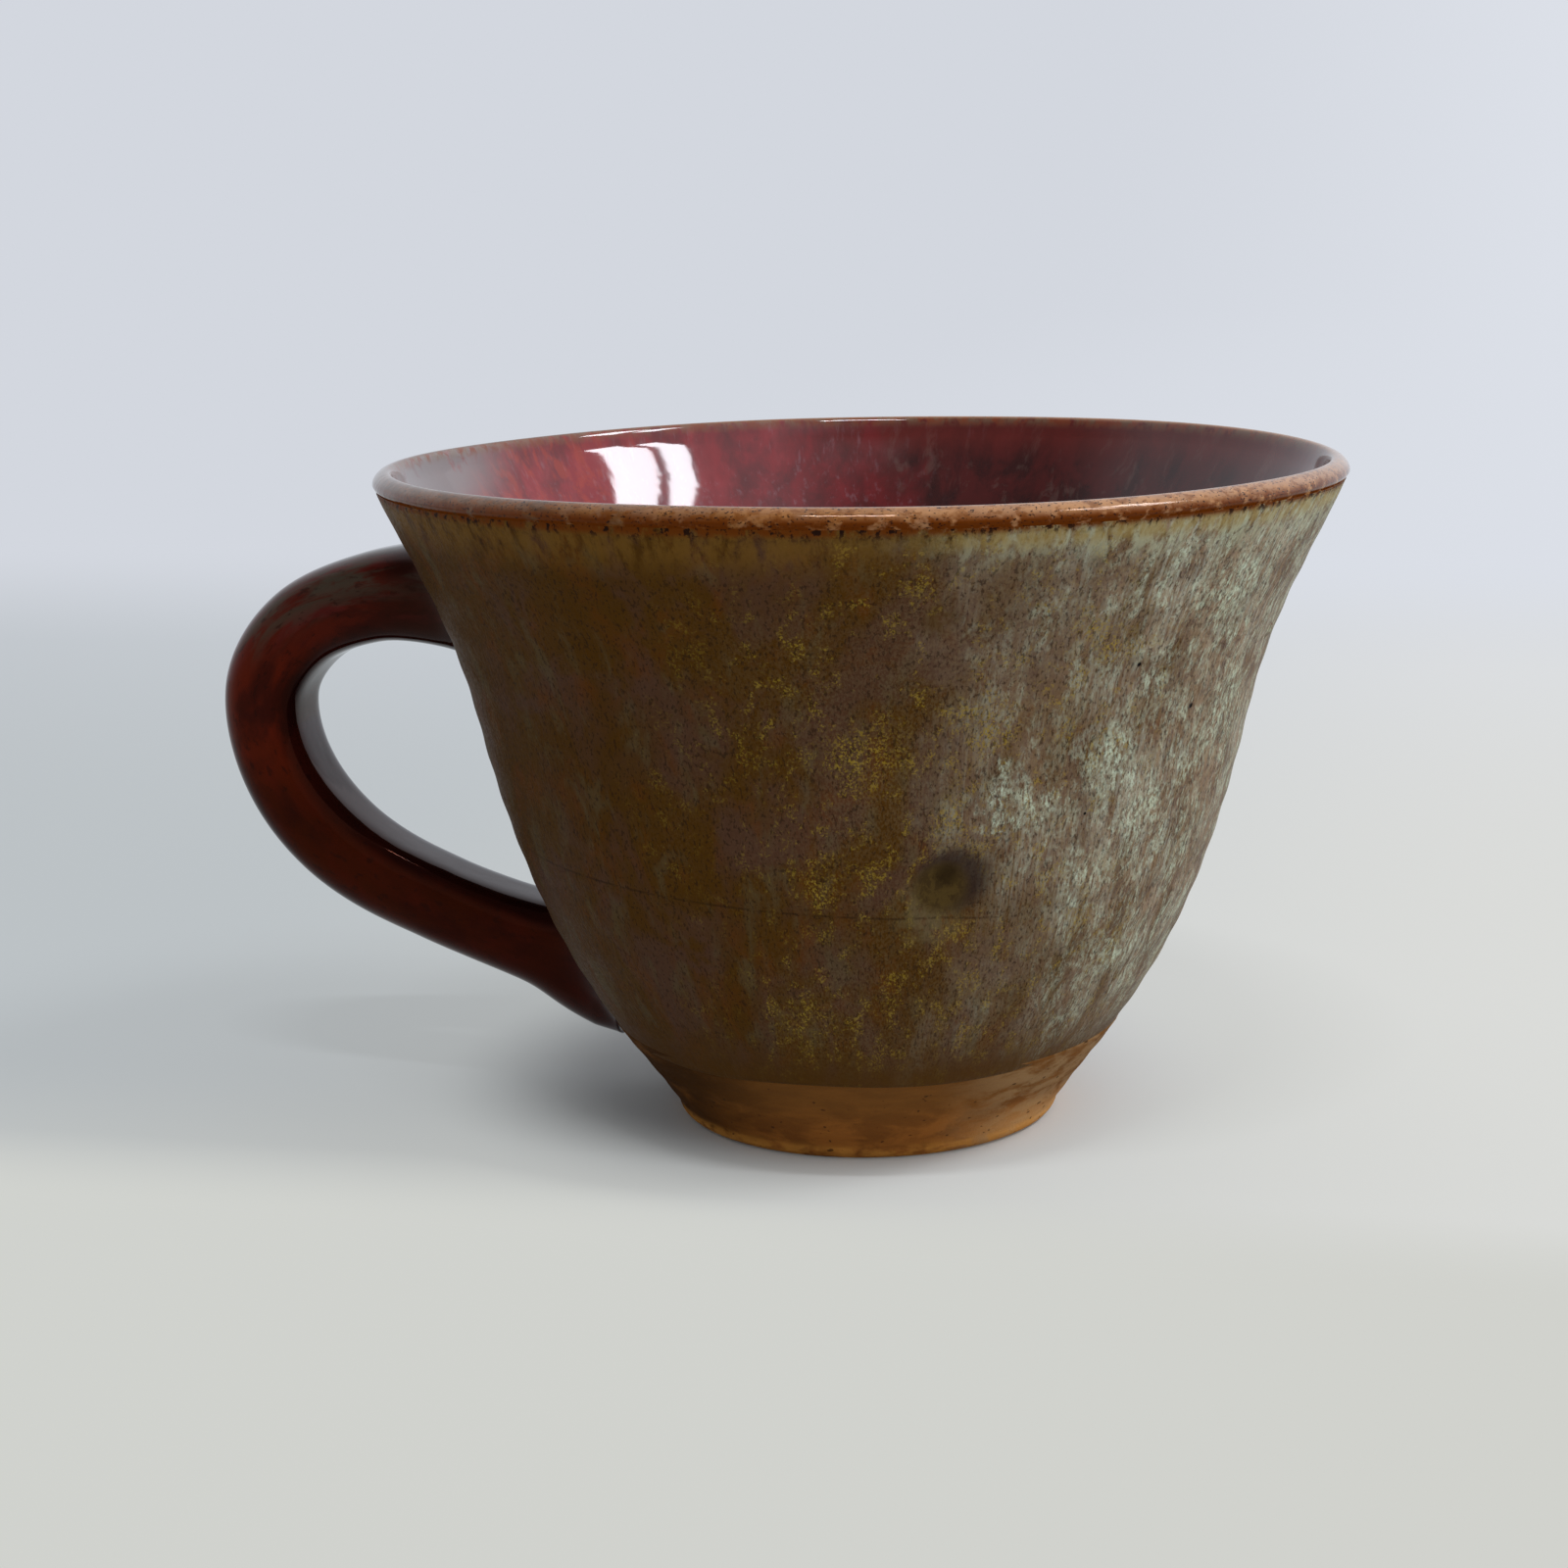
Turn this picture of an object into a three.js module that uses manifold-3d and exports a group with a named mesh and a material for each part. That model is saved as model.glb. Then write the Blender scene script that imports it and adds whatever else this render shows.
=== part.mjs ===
// Hand-thrown stoneware coffee cup with a pulled ear handle and three glaze coats.
// Millimetres, +Z up. The origin is the centre of the flat foot that the cup stands on,
// and the handle points along -X.

import * as THREE from 'three';
import { mergeVertices } from 'three/addons/utils/BufferGeometryUtils.js';
import Module from 'manifold-3d';

const wasm = await Module();
wasm.setup();

// Cup body, sizes of the finished glazed surface

const HEIGHT = 76.9;
const RIM_RADIUS = 55;
const WAIST_RADIUS = 44.2;
const WAIST_HEIGHT = 47.5;
const FOOT_RADIUS = 22.3;
const FOOT_BEVEL = 1.1;
const WALL_THICKNESS = 4.3;
const FLOOR_THICKNESS = 6.5;
const LIP_THICKNESS = 3.2;
const LIP_RIDGE_INSET = 1.6;
const LIP_FALL = 1.5;
const LIP_DEPTH = 2.6;

// How fast the wall opens, as radius gained for each millimetre of height

const FOOT_FLARE = 0.6;
const WAIST_FLARE = 0.22;
const RIM_FLARE = 0.36;
const INNER_RIM_FLARE = 0.62;

// How far each curve holds its end direction, as a share of its own height

const FOOT_HOLD = 0.22;
const BELLY_HOLD = 0.67;
const WAIST_HOLD = 0.5;
const RIM_HOLD = 0.29;
const BASIN_HOLD = 0.58;

// Glaze coats

const COAT = 0.5;
const BOND_GAP = 0.2;
const GLAZE_LINE_HEIGHT = 9.8;

// Pulled handle, sizes of the finished glazed surface

const HANDLE_REACH = 74;
const UPPER_ROOT_HEIGHT = 60.5;
const LOWER_ROOT_HEIGHT = 14.2;
const STRAP_THICKNESS = 9.9;
const UPPER_ROOT_THICKNESS = 12.8;
const LOWER_ROOT_THICKNESS = 12.4;
const UPPER_STRAP_WIDTH = 12;
const LOWER_STRAP_WIDTH = 9.4;
const ROOT_SPREAD = 1.6;
const UPPER_ROOT_FADE = 10;
const LOWER_ROOT_FADE = 6;
const STRAP_SQUARENESS = 2.6;
const SLIP_THICKNESS = 0.8;
const ROOT_GAP = 0.3;

// Facets

const TURNS = 60;
const WALL_STEPS = 6;
const SHORTEST_STEP = 0.5;
const WELD_DISTANCE = 0.0001;
const LIP_STEPS = 3;
const STRAP_RINGS = 36;
const STRAP_SIDES = 16;

// Colours and surfaces

const stoneware = new THREE.MeshStandardMaterial({ color: 0x9a6a3a, roughness: 0.85, metalness: 0 });
const slipClay = new THREE.MeshStandardMaterial({ color: 0x6e4626, roughness: 0.8, metalness: 0 });
const redGloss = new THREE.MeshStandardMaterial({ color: 0x74303a, roughness: 0.12, metalness: 0 });
const rutileSatin = new THREE.MeshStandardMaterial({ color: 0x665443, roughness: 0.45, metalness: 0 });
const handleGloss = new THREE.MeshStandardMaterial({ color: 0x3f130d, roughness: 0.14, metalness: 0 });

// Section lines of the finished cup, as points of radius and height

function steeredCurve(start, startFlare, startHold, end, endFlare, endHold) {
  const span = end.y - start.y;
  const leave = new THREE.Vector2(startFlare, 1).multiplyScalar(startHold * span).add(start);
  const arrive = new THREE.Vector2(-endFlare, -1).multiplyScalar(endHold * span).add(end);
  return new THREE.CubicBezierCurve(start, leave, arrive, end);
}

function joinCurves(curves, steps) {
  const line = [];
  for (const curve of curves) {
    const points = curve.getPoints(steps);
    line.push(...(line.length ? points.slice(1) : points));
  }
  return line;
}

const footEdge = new THREE.Vector2(FOOT_RADIUS, FOOT_BEVEL);
const waist = new THREE.Vector2(WAIST_RADIUS, WAIST_HEIGHT);
const lipShoulder = new THREE.Vector2(RIM_RADIUS, HEIGHT - LIP_FALL);
const lipRidge = new THREE.Vector2(RIM_RADIUS - LIP_RIDGE_INSET, HEIGHT);
const lipRoot = new THREE.Vector2(RIM_RADIUS - LIP_THICKNESS, HEIGHT - LIP_DEPTH);
const innerWaist = new THREE.Vector2(WAIST_RADIUS - WALL_THICKNESS, WAIST_HEIGHT);
const floorCentre = new THREE.Vector2(0, FLOOR_THICKNESS);

const outerLine = joinCurves([
  steeredCurve(footEdge, FOOT_FLARE, FOOT_HOLD, waist, WAIST_FLARE, BELLY_HOLD),
  steeredCurve(waist, WAIST_FLARE, WAIST_HOLD, lipShoulder, RIM_FLARE, RIM_HOLD),
], WALL_STEPS);

// The basin leaves the floor level and turns up into the inner wall

function basinCurve() {
  const levelRun = new THREE.Vector2(innerWaist.x * BASIN_HOLD, FLOOR_THICKNESS);
  const rise = (WAIST_HEIGHT - FLOOR_THICKNESS) * BASIN_HOLD;
  const arrive = new THREE.Vector2(innerWaist.x - WAIST_FLARE * rise, WAIST_HEIGHT - rise);
  return new THREE.CubicBezierCurve(floorCentre, levelRun, arrive, innerWaist);
}

const innerLine = joinCurves([
  basinCurve(),
  steeredCurve(innerWaist, WAIST_FLARE, WAIST_HOLD, lipRoot, INNER_RIM_FLARE, RIM_HOLD),
], WALL_STEPS);

// The lip rises from the inner wall to its ridge and rolls over to the outer shoulder

function lipCurves() {
  const ridgeLead = LIP_RIDGE_INSET * 0.5;
  const rollIn = new THREE.Vector2(lipRoot.x + INNER_RIM_FLARE * LIP_DEPTH * 0.5, HEIGHT - LIP_DEPTH * 0.5);
  const beforeRidge = new THREE.Vector2(lipRidge.x - ridgeLead, HEIGHT);
  const afterRidge = new THREE.Vector2(lipRidge.x + ridgeLead, HEIGHT);
  const rollOut = new THREE.Vector2(RIM_RADIUS, HEIGHT - LIP_FALL * 0.5);
  return [
    new THREE.CubicBezierCurve(lipRoot, rollIn, beforeRidge, lipRidge),
    new THREE.CubicBezierCurve(lipRidge, afterRidge, rollOut, lipShoulder),
  ];
}

const lipLine = joinCurves(lipCurves(), LIP_STEPS);

// A line moved sideways: to its right, seen along its direction, for a positive distance

function offsetLine(line, distance) {
  return line.map((point, i) => {
    const before = line[Math.max(i - 1, 0)];
    const after = line[Math.min(i + 1, line.length - 1)];
    const along = new THREE.Vector2().subVectors(after, before).normalize();
    return new THREE.Vector2(point.x + along.y * distance, point.y - along.x * distance);
  });
}

function radiusAt(line, height) {
  const i = line.findIndex((point, k) => k > 0 && point.y >= height);
  const share = (height - line[i - 1].y) / (line[i].y - line[i - 1].y);
  return line[i - 1].x + (line[i].x - line[i - 1].x) * share;
}

// The part of a rising line above a height, beginning with a point at that height

function lineAbove(line, height) {
  const start = new THREE.Vector2(radiusAt(line, height), height);
  return [start, ...line.filter((point) => point.y > height + SHORTEST_STEP)];
}

// Closed solids: revolved, lofted, and cut

function weld(geometry) {
  geometry.deleteAttribute('normal');
  geometry.deleteAttribute('uv');
  const welded = mergeVertices(geometry, WELD_DISTANCE);
  const corners = Array.from(welded.index.array);
  const kept = [];
  for (let i = 0; i < corners.length; i += 3) {
    const [a, b, c] = corners.slice(i, i + 3);
    if (a !== b && b !== c && c !== a) kept.push(a, b, c);
  }
  welded.setIndex(kept);
  return welded;
}

function revolve(profile) {
  return weld(new THREE.LatheGeometry(profile, TURNS).rotateX(Math.PI / 2));
}

function loft(rings) {
  const sides = rings[0].length;
  const vertices = rings.flat();
  const faces = [];
  for (let r = 0; r + 1 < rings.length; r += 1) {
    for (let s = 0; s < sides; s += 1) {
      const next = (s + 1) % sides;
      const [a, b] = [r * sides + s, r * sides + next];
      faces.push(a, b + sides, b, a, a + sides, b + sides);
    }
  }
  const lastRing = (rings.length - 1) * sides;
  for (let s = 1; s + 1 < sides; s += 1) {
    faces.push(0, s, s + 1);
    faces.push(lastRing, lastRing + s + 1, lastRing + s);
  }
  const geometry = new THREE.BufferGeometry().setFromPoints(vertices);
  geometry.setIndex(faces);
  return geometry;
}

function toSolid(geometry) {
  const vertProperties = new Float32Array(geometry.attributes.position.array);
  const triVerts = new Uint32Array(geometry.index.array);
  return new wasm.Manifold(new wasm.Mesh({ numProp: 3, vertProperties, triVerts }));
}

function toGeometry(solid) {
  const mesh = solid.getMesh();
  const geometry = new THREE.BufferGeometry();
  geometry.setAttribute('position', new THREE.BufferAttribute(new Float32Array(mesh.vertProperties), 3));
  geometry.setIndex(Array.from(mesh.triVerts));
  return geometry;
}

// Bowl of clay, inside the coats: floor, inner wall, lip, outer wall and flat foot

const bedding = COAT + BOND_GAP;
const sectionLine = [...innerLine, ...lipLine.slice(1), ...outerLine.slice(0, -1).reverse()];
const clayLine = offsetLine(sectionLine, bedding);

function thrownBowl() {
  const footCorner = new THREE.Vector2(clayLine.at(-1).x - FOOT_BEVEL, 0);
  clayLine[0].x = 0;
  return revolve([...clayLine, footCorner, new THREE.Vector2(0, 0)].reverse());
}

// Liner glaze: floor, inner wall and the whole lip

function linerGlaze() {
  const face = [...innerLine, ...lipLine.slice(1)];
  const back = offsetLine(face, COAT);
  back[0].x = 0;
  return revolve([...face, ...back.reverse()].reverse());
}

// Wall glaze: from the liner's edge down to the glaze line, with a window for each handle root

function wallGlaze(rootPlug) {
  const face = lineAbove(outerLine.slice(0, -1), GLAZE_LINE_HEIGHT);
  const topHeight = HEIGHT - LIP_FALL - BOND_GAP - COAT;
  face.push(new THREE.Vector2(radiusAt(outerLine, topHeight), topHeight));
  const back = offsetLine(face, -COAT);
  const coat = toSolid(revolve([...face, ...back.reverse(), face[0]]));
  return toGeometry(coat.subtract(rootPlug));
}

// Ear line of the handle, as points of radius and height in the plane of the handle

const upperRoot = new THREE.Vector2(radiusAt(outerLine, UPPER_ROOT_HEIGHT), UPPER_ROOT_HEIGHT);
const lowerRoot = new THREE.Vector2(radiusAt(outerLine, LOWER_ROOT_HEIGHT), LOWER_ROOT_HEIGHT);

// Each station: radius as a share of the reach, height as a share of the rise between the roots

const EAR_STATIONS = [
  [0.8, 0.985],
  [0.923, 0.907],
  [0.996, 0.743],
  [0.98, 0.534],
  [0.882, 0.322],
  [0.711, 0.177],
  [0.538, 0.082],
];

// Both ends of the ear line run on inside the wall, so that the wall's face cuts the strap clean

const ANCHOR_DEPTH = 14;
const LOWER_ANCHOR_FALL = 0.15;

function earCurve() {
  const rise = UPPER_ROOT_HEIGHT - LOWER_ROOT_HEIGHT;
  const line = [
    [upperRoot.x - ANCHOR_DEPTH, UPPER_ROOT_HEIGHT],
    [upperRoot.x, UPPER_ROOT_HEIGHT],
    ...EAR_STATIONS.map(([out, up]) => [out * HANDLE_REACH, LOWER_ROOT_HEIGHT + up * rise]),
    [lowerRoot.x, LOWER_ROOT_HEIGHT],
    [lowerRoot.x - ANCHOR_DEPTH, LOWER_ROOT_HEIGHT - ANCHOR_DEPTH * LOWER_ANCHOR_FALL],
  ];
  const points = line.map(([radius, height]) => new THREE.Vector3(-radius, 0, height));
  return new THREE.CatmullRomCurve3(points, false, 'catmullrom', 0.5);
}

const ear = earCurve();
const earLength = ear.getLength();
const freeLength = earLength - 2 * ANCHOR_DEPTH;

// Strap size at a distance along the free strap: it tapers downwards and spreads at both roots

function strapSize(distance) {
  const run = THREE.MathUtils.clamp(distance, 0, freeLength);
  const atUpper = Math.exp(-run / UPPER_ROOT_FADE);
  const atLower = Math.exp(-(freeLength - run) / LOWER_ROOT_FADE);
  const thickness = STRAP_THICKNESS
    + (UPPER_ROOT_THICKNESS - STRAP_THICKNESS) * atUpper
    + (LOWER_ROOT_THICKNESS - STRAP_THICKNESS) * atLower;
  const taper = THREE.MathUtils.lerp(UPPER_STRAP_WIDTH, LOWER_STRAP_WIDTH, run / freeLength);
  return { thickness, width: taper + ROOT_SPREAD * (atUpper + atLower) };
}

// A rounded strap section, a superellipse, carried along the ear line and grown by an offset

function strapSolid(growth) {
  const rings = [];
  for (let r = 0; r <= STRAP_RINGS; r += 1) {
    const share = r / STRAP_RINGS;
    const centre = ear.getPointAt(share);
    const along = ear.getTangentAt(share);
    const across = new THREE.Vector3(0, 1, 0);
    const outward = new THREE.Vector3().crossVectors(across, along);
    const size = strapSize(share * earLength - ANCHOR_DEPTH);
    const ring = [];
    for (let s = 0; s < STRAP_SIDES; s += 1) {
      const angle = (2 * Math.PI * s) / STRAP_SIDES;
      const bulge = (value) => Math.sign(value) * Math.abs(value) ** (2 / STRAP_SQUARENESS);
      const sideways = (size.width / 2 + growth) * bulge(Math.cos(angle));
      const upwards = (size.thickness / 2 + growth) * bulge(Math.sin(angle));
      ring.push(centre.clone().addScaledVector(across, sideways).addScaledVector(outward, upwards));
    }
    rings.push(ring);
  }
  return toSolid(loft(rings));
}

// The space inside the cup's outer face, moved outwards by a growth, down past the foot

function cupEnvelope(growth) {
  const line = offsetLine(outerLine, growth);
  const bottom = new THREE.Vector2(0, -ANCHOR_DEPTH);
  const bottomEdge = new THREE.Vector2(line[0].x, -ANCHOR_DEPTH);
  const top = new THREE.Vector2(0, line.at(-1).y);
  return toSolid(revolve([bottom, bottomEdge, ...line, top]));
}

const clayFace = cupEnvelope(-bedding + ROOT_GAP);
const slipFace = cupEnvelope(-bedding + ROOT_GAP + SLIP_THICKNESS);
const handleSeat = cupEnvelope(-bedding + 2 * ROOT_GAP + SLIP_THICKNESS);
const glazeSeat = cupEnvelope(ROOT_GAP);
const clayStrap = strapSolid(-bedding);

function pulledHandle() {
  return toGeometry(clayStrap.subtract(handleSeat));
}

// Slip joints: the clay paste between each end of the strap and the wall

function slipJoint(rootHeight) {
  const paste = clayStrap.intersect(slipFace.subtract(clayFace));
  const reach = UPPER_ROOT_HEIGHT - LOWER_ROOT_HEIGHT;
  const around = new THREE.BoxGeometry(2 * HANDLE_REACH, reach, reach).translate(0, 0, rootHeight);
  return toGeometry(paste.intersect(toSolid(weld(around))));
}

function handleGlaze() {
  return toGeometry(strapSolid(0).subtract(strapSolid(-COAT)).subtract(glazeSeat));
}

// The cup, assembled

function piece(name, geometry, material) {
  const mesh = new THREE.Mesh(geometry, material);
  mesh.name = name;
  geometry.computeVertexNormals();
  return mesh;
}

const body = new THREE.Group();
body.add(piece('thrown_bowl', thrownBowl(), stoneware));

const handle = new THREE.Group();
handle.add(piece('pulled_handle', pulledHandle(), stoneware));
handle.add(piece('upper_slip_joint', slipJoint(UPPER_ROOT_HEIGHT), slipClay));
handle.add(piece('lower_slip_joint', slipJoint(LOWER_ROOT_HEIGHT), slipClay));

const coats = new THREE.Group();
coats.add(piece('liner_glaze', linerGlaze(), redGloss));
coats.add(piece('wall_glaze', wallGlaze(strapSolid(-bedding + ROOT_GAP)), rutileSatin));
coats.add(piece('handle_glaze', handleGlaze(), handleGloss));

const cup = new THREE.Group();
cup.add(body, handle, coats);

export default cup;
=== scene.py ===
"""Hand-thrown stoneware coffee cup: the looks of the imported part.

Shapes are worked out in millimetres and turned to metres when a mesh is made. The origin is the
centre of the flat foot, +Z is up, and the handle points along -X.
"""

import logging
import math
from dataclasses import dataclass
from enum import Enum
from functools import cached_property
from typing import Any

import bpy
import numpy as np
from mathutils import Matrix, Vector


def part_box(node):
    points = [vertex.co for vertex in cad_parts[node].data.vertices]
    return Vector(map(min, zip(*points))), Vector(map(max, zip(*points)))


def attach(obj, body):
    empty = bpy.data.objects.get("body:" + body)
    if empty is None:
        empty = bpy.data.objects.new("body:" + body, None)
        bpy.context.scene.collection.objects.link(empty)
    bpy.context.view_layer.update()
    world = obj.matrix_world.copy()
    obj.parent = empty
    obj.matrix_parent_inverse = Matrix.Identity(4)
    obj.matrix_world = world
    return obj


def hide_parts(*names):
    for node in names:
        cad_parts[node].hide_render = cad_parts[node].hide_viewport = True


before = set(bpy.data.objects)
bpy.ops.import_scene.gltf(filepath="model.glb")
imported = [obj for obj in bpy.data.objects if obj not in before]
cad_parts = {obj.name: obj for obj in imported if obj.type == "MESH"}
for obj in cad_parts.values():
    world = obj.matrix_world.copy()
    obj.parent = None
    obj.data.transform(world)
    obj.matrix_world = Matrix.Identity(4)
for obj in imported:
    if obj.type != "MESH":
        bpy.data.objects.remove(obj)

log = logging.getLogger("coffee_cup")

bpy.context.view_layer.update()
MM = 0.001
FLOW = "glaze_flow"
# Level direction that points to the right in the photograph.
VIEW_RIGHT = Vector((0.97, 0.244, 0.0))
# A radius and a height.
Point = tuple[float, float]
# A point or a direction by its x, y and z.
Place = tuple[float, float, float]


class Slot(Enum):
    """The record's material slots."""

    STONEWARE = "stoneware_clay"
    SLIP = "luting_slip"
    LINER = "oxblood_liner_glaze"
    WALL = "rutile_wall_glaze"
    HANDLE = "dark_red_handle_glaze"


class Ends(Enum):
    """How the first and last row of a grid of points are closed."""

    JOINED = "the last row joins the first"
    POLES = "each is drawn together to one point"
    OPEN = "both stay open"


# Lines and grids


def smooth(value: np.ndarray, start: float, end: float) -> np.ndarray:
    """Rises from 0 where value is start to 1 where it is end, by the cubic 3t^2 - 2t^3."""
    t = np.clip((value - start) / (end - start), 0.0, 1.0)
    return t * t * (3.0 - 2.0 * t)


def bezier(corners: list[Point], count: int = 240) -> np.ndarray:
    """Points of the cubic with four control points, evenly spaced in its parameter.

    Args:
        corners: The four control points.
        count: Number of points.

    Returns:
        An array of count points.
    """
    t = np.linspace(0.0, 1.0, count)[:, None]
    a, b, c, d = (np.array(corner, float) for corner in corners)
    s = 1.0 - t
    return s**3 * a + 3.0 * s * s * t * b + 3.0 * s * t * t * c + t**3 * d


@dataclass(frozen=True)
class Line:
    """A finely sampled section line, read by the length run along it."""

    points: np.ndarray

    @property
    def runs(self) -> np.ndarray:
        """Length run from the first point to each point."""
        steps = np.linalg.norm(np.diff(self.points, axis=0), axis=1)
        return np.concatenate([[0.0], np.cumsum(steps)])

    @property
    def length(self) -> float:
        """Length of the whole line."""
        return float(self.runs[-1])

    def at(self, run: np.ndarray, offset: np.ndarray | float = 0.0) -> tuple[np.ndarray, np.ndarray]:
        """Radius and height at a length run, moved off the line to its right.

        Args:
            run: Length run from the line's first point.
            offset: Distance to the right of the line, seen along it.

        Returns:
            Radius and height, in the shape of run.
        """
        runs = self.runs
        slope = np.gradient(self.points, runs, axis=0)
        slope /= np.linalg.norm(slope, axis=1, keepdims=True)
        radius, height, along_r, along_z = (
            np.interp(run, runs, column) for column in (*self.points.T, *slope.T))
        return radius + along_z * offset, height - along_r * offset

    def reversed(self) -> "Line":
        """The same line run the other way."""
        return Line(self.points[::-1])

    def radius_at(self, height: np.ndarray | float) -> np.ndarray:
        """Radius at a height, on a line that rises all the way."""
        return np.interp(height, self.points[:, 1], self.points[:, 0])


def grid_mesh(
    name: str, grid: np.ndarray, ends: Ends, flow: np.ndarray | None = None,
) -> bpy.types.Object:
    """Makes a smooth mesh from a grid of points whose columns close on themselves.

    Neighbouring points are joined by quads, and a pole row by triangles to one point. Where the
    sum of the signed tetrahedra from the origin is negative, all faces are turned round.

    Args:
        name: Name of the piece.
        grid: Rows by columns by three, in millimetres.
        ends: How the first and last row are closed.
        flow: The glaze flow at each point, in millimetres, or None.

    Returns:
        The new object, linked to the scene.
    """
    rows, columns = grid.shape[:2]
    index = np.arange(rows * columns).reshape(rows, columns)
    wrapped = np.concatenate([index, index[:, :1]], axis=1) if ends is not Ends.OPEN else index
    if ends is Ends.JOINED:
        wrapped = np.concatenate([wrapped, wrapped[:1]], axis=0)
    if ends is Ends.POLES:
        wrapped[0], wrapped[-1] = index[0, 0], index[-1, 0]
    corners = wrapped[:-1, :-1], wrapped[:-1, 1:], wrapped[1:, 1:], wrapped[1:, :-1]
    quads = np.stack(corners, axis=-1).reshape(-1, 4)
    points = grid.reshape(-1, 3)
    if ends is not Ends.OPEN:
        a, b, c, d = (points[quads[:, k]] for k in range(4))
        volume = np.einsum("ij,ij->", a, np.cross(b, c) + np.cross(c, d))
        quads = quads[:, ::-1] if volume < 0 else quads
    used, numbers = np.unique(quads, return_inverse=True)
    faces = [tuple(dict.fromkeys(face)) for face in numbers.reshape(-1, 4).tolist()]
    mesh = bpy.data.meshes.new(name)
    mesh.from_pydata((points[used] * MM).tolist(), [], faces)
    mesh.polygons.foreach_set("use_smooth", np.ones(len(faces), bool))
    if flow is not None:
        layer = mesh.attributes.new(FLOW, "FLOAT_VECTOR", "POINT")
        layer.data.foreach_set("vector", flow.reshape(-1, 3)[used].astype(np.float32).ravel())
    mesh.update()
    piece = bpy.data.objects.new(name, mesh)
    bpy.context.scene.collection.objects.link(piece)
    return piece


def revolve(radius: np.ndarray, height: np.ndarray, turn: np.ndarray) -> np.ndarray:
    """Points (radius cos turn, radius sin turn, height) of a surface round the cup's axis."""
    return np.stack([radius * np.cos(turn), radius * np.sin(turn), height], axis=-1)


def azimuths(columns: int) -> np.ndarray:
    """Evenly spaced turns round the axis as one row, in radians."""
    return np.linspace(0.0, 2.0 * np.pi, columns, endpoint=False)[None, :]


# The cup's form


@dataclass(frozen=True)
class CupForm:
    """Section of the finished, glazed cup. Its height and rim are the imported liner's."""

    height: float
    rim_radius: float
    waist_radius: float = 44.2
    waist_height: float = 47.5
    foot_radius: float = 22.3
    foot_bevel: float = 1.1
    wall_thickness: float = 4.3
    floor_thickness: float = 6.5
    lip_thickness: float = 3.2
    ridge_inset: float = 1.6
    lip_fall: float = 1.5
    lip_depth: float = 2.6
    foot_flare: float = 0.6
    waist_flare: float = 0.22
    rim_flare: float = 0.36
    inner_rim_flare: float = 0.62
    foot_hold: float = 0.22
    belly_hold: float = 0.67
    waist_hold: float = 0.5
    rim_hold: float = 0.29
    basin_hold: float = 0.58
    coat: float = 0.5

    @classmethod
    def from_frame(cls) -> "CupForm":
        """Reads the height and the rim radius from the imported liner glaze."""
        low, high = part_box("liner_glaze")
        return cls(height=high.z / MM, rim_radius=(high.y - low.y) / 2 / MM)

    @property
    def shoulder(self) -> Point:
        """Outer corner of the lip."""
        return self.rim_radius, self.height - self.lip_fall

    @property
    def lip_root(self) -> Point:
        """Point of the inner wall where the lip begins."""
        return self.rim_radius - self.lip_thickness, self.height - self.lip_depth

    @staticmethod
    def steered(start: Point, leave: Point, end: Point, arrive: Point) -> np.ndarray:
        """A cubic that leaves and arrives in given directions.

        Args:
            start: First point.
            leave: Flare at the start and the share of the rise that it holds.
            end: Last point.
            arrive: Flare at the end and the share of the rise that it holds.

        Returns:
            The curve's points.
        """
        span = end[1] - start[1]
        first = (start[0] + leave[0] * leave[1] * span, start[1] + leave[1] * span)
        last = (end[0] - arrive[0] * arrive[1] * span, end[1] - arrive[1] * span)
        return bezier([start, first, last, end])

    def outer_line(self) -> Line:
        """Draws the outer face.

        Returns:
            The line from the foot's edge up to the lip's outer corner.
        """
        foot = (self.foot_radius, self.foot_bevel)
        waist = (self.waist_radius, self.waist_height)
        belly = self.steered(
            foot, (self.foot_flare, self.foot_hold), waist, (self.waist_flare, self.belly_hold))
        upper = self.steered(
            waist, (self.waist_flare, self.waist_hold), self.shoulder, (self.rim_flare, self.rim_hold))
        return Line(np.concatenate([belly, upper[1:]]))

    def inner_line(self) -> Line:
        """Draws the inner face.

        Returns:
            The line from the centre of the floor up to the root of the lip.
        """
        waist = (self.waist_radius - self.wall_thickness, self.waist_height)
        rise = (self.waist_height - self.floor_thickness) * self.basin_hold
        basin = bezier([
            (0.0, self.floor_thickness), (waist[0] * self.basin_hold, self.floor_thickness),
            (waist[0] - self.waist_flare * rise, self.waist_height - rise), waist,
        ])
        upper = self.steered(
            waist, (self.waist_flare, self.waist_hold),
            self.lip_root, (self.inner_rim_flare, self.rim_hold))
        return Line(np.concatenate([basin, upper[1:]]))

    def lip_line(self) -> Line:
        """Draws the lip.

        Returns:
            The line from the inner wall over the ridge to the outer corner.
        """
        ridge = (self.rim_radius - self.ridge_inset, self.height)
        lead = self.ridge_inset * 0.5
        roll_in = (
            self.lip_root[0] + self.inner_rim_flare * self.lip_depth * 0.5,
            self.height - self.lip_depth * 0.5,
        )
        roll_out = (self.rim_radius, self.height - self.lip_fall * 0.5)
        inside = bezier([self.lip_root, roll_in, (ridge[0] - lead, ridge[1]), ridge], 60)
        outside = bezier([ridge, (ridge[0] + lead, ridge[1]), roll_out, self.shoulder], 60)
        return Line(np.concatenate([inside, outside[1:]]))


# Shader trees


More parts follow.
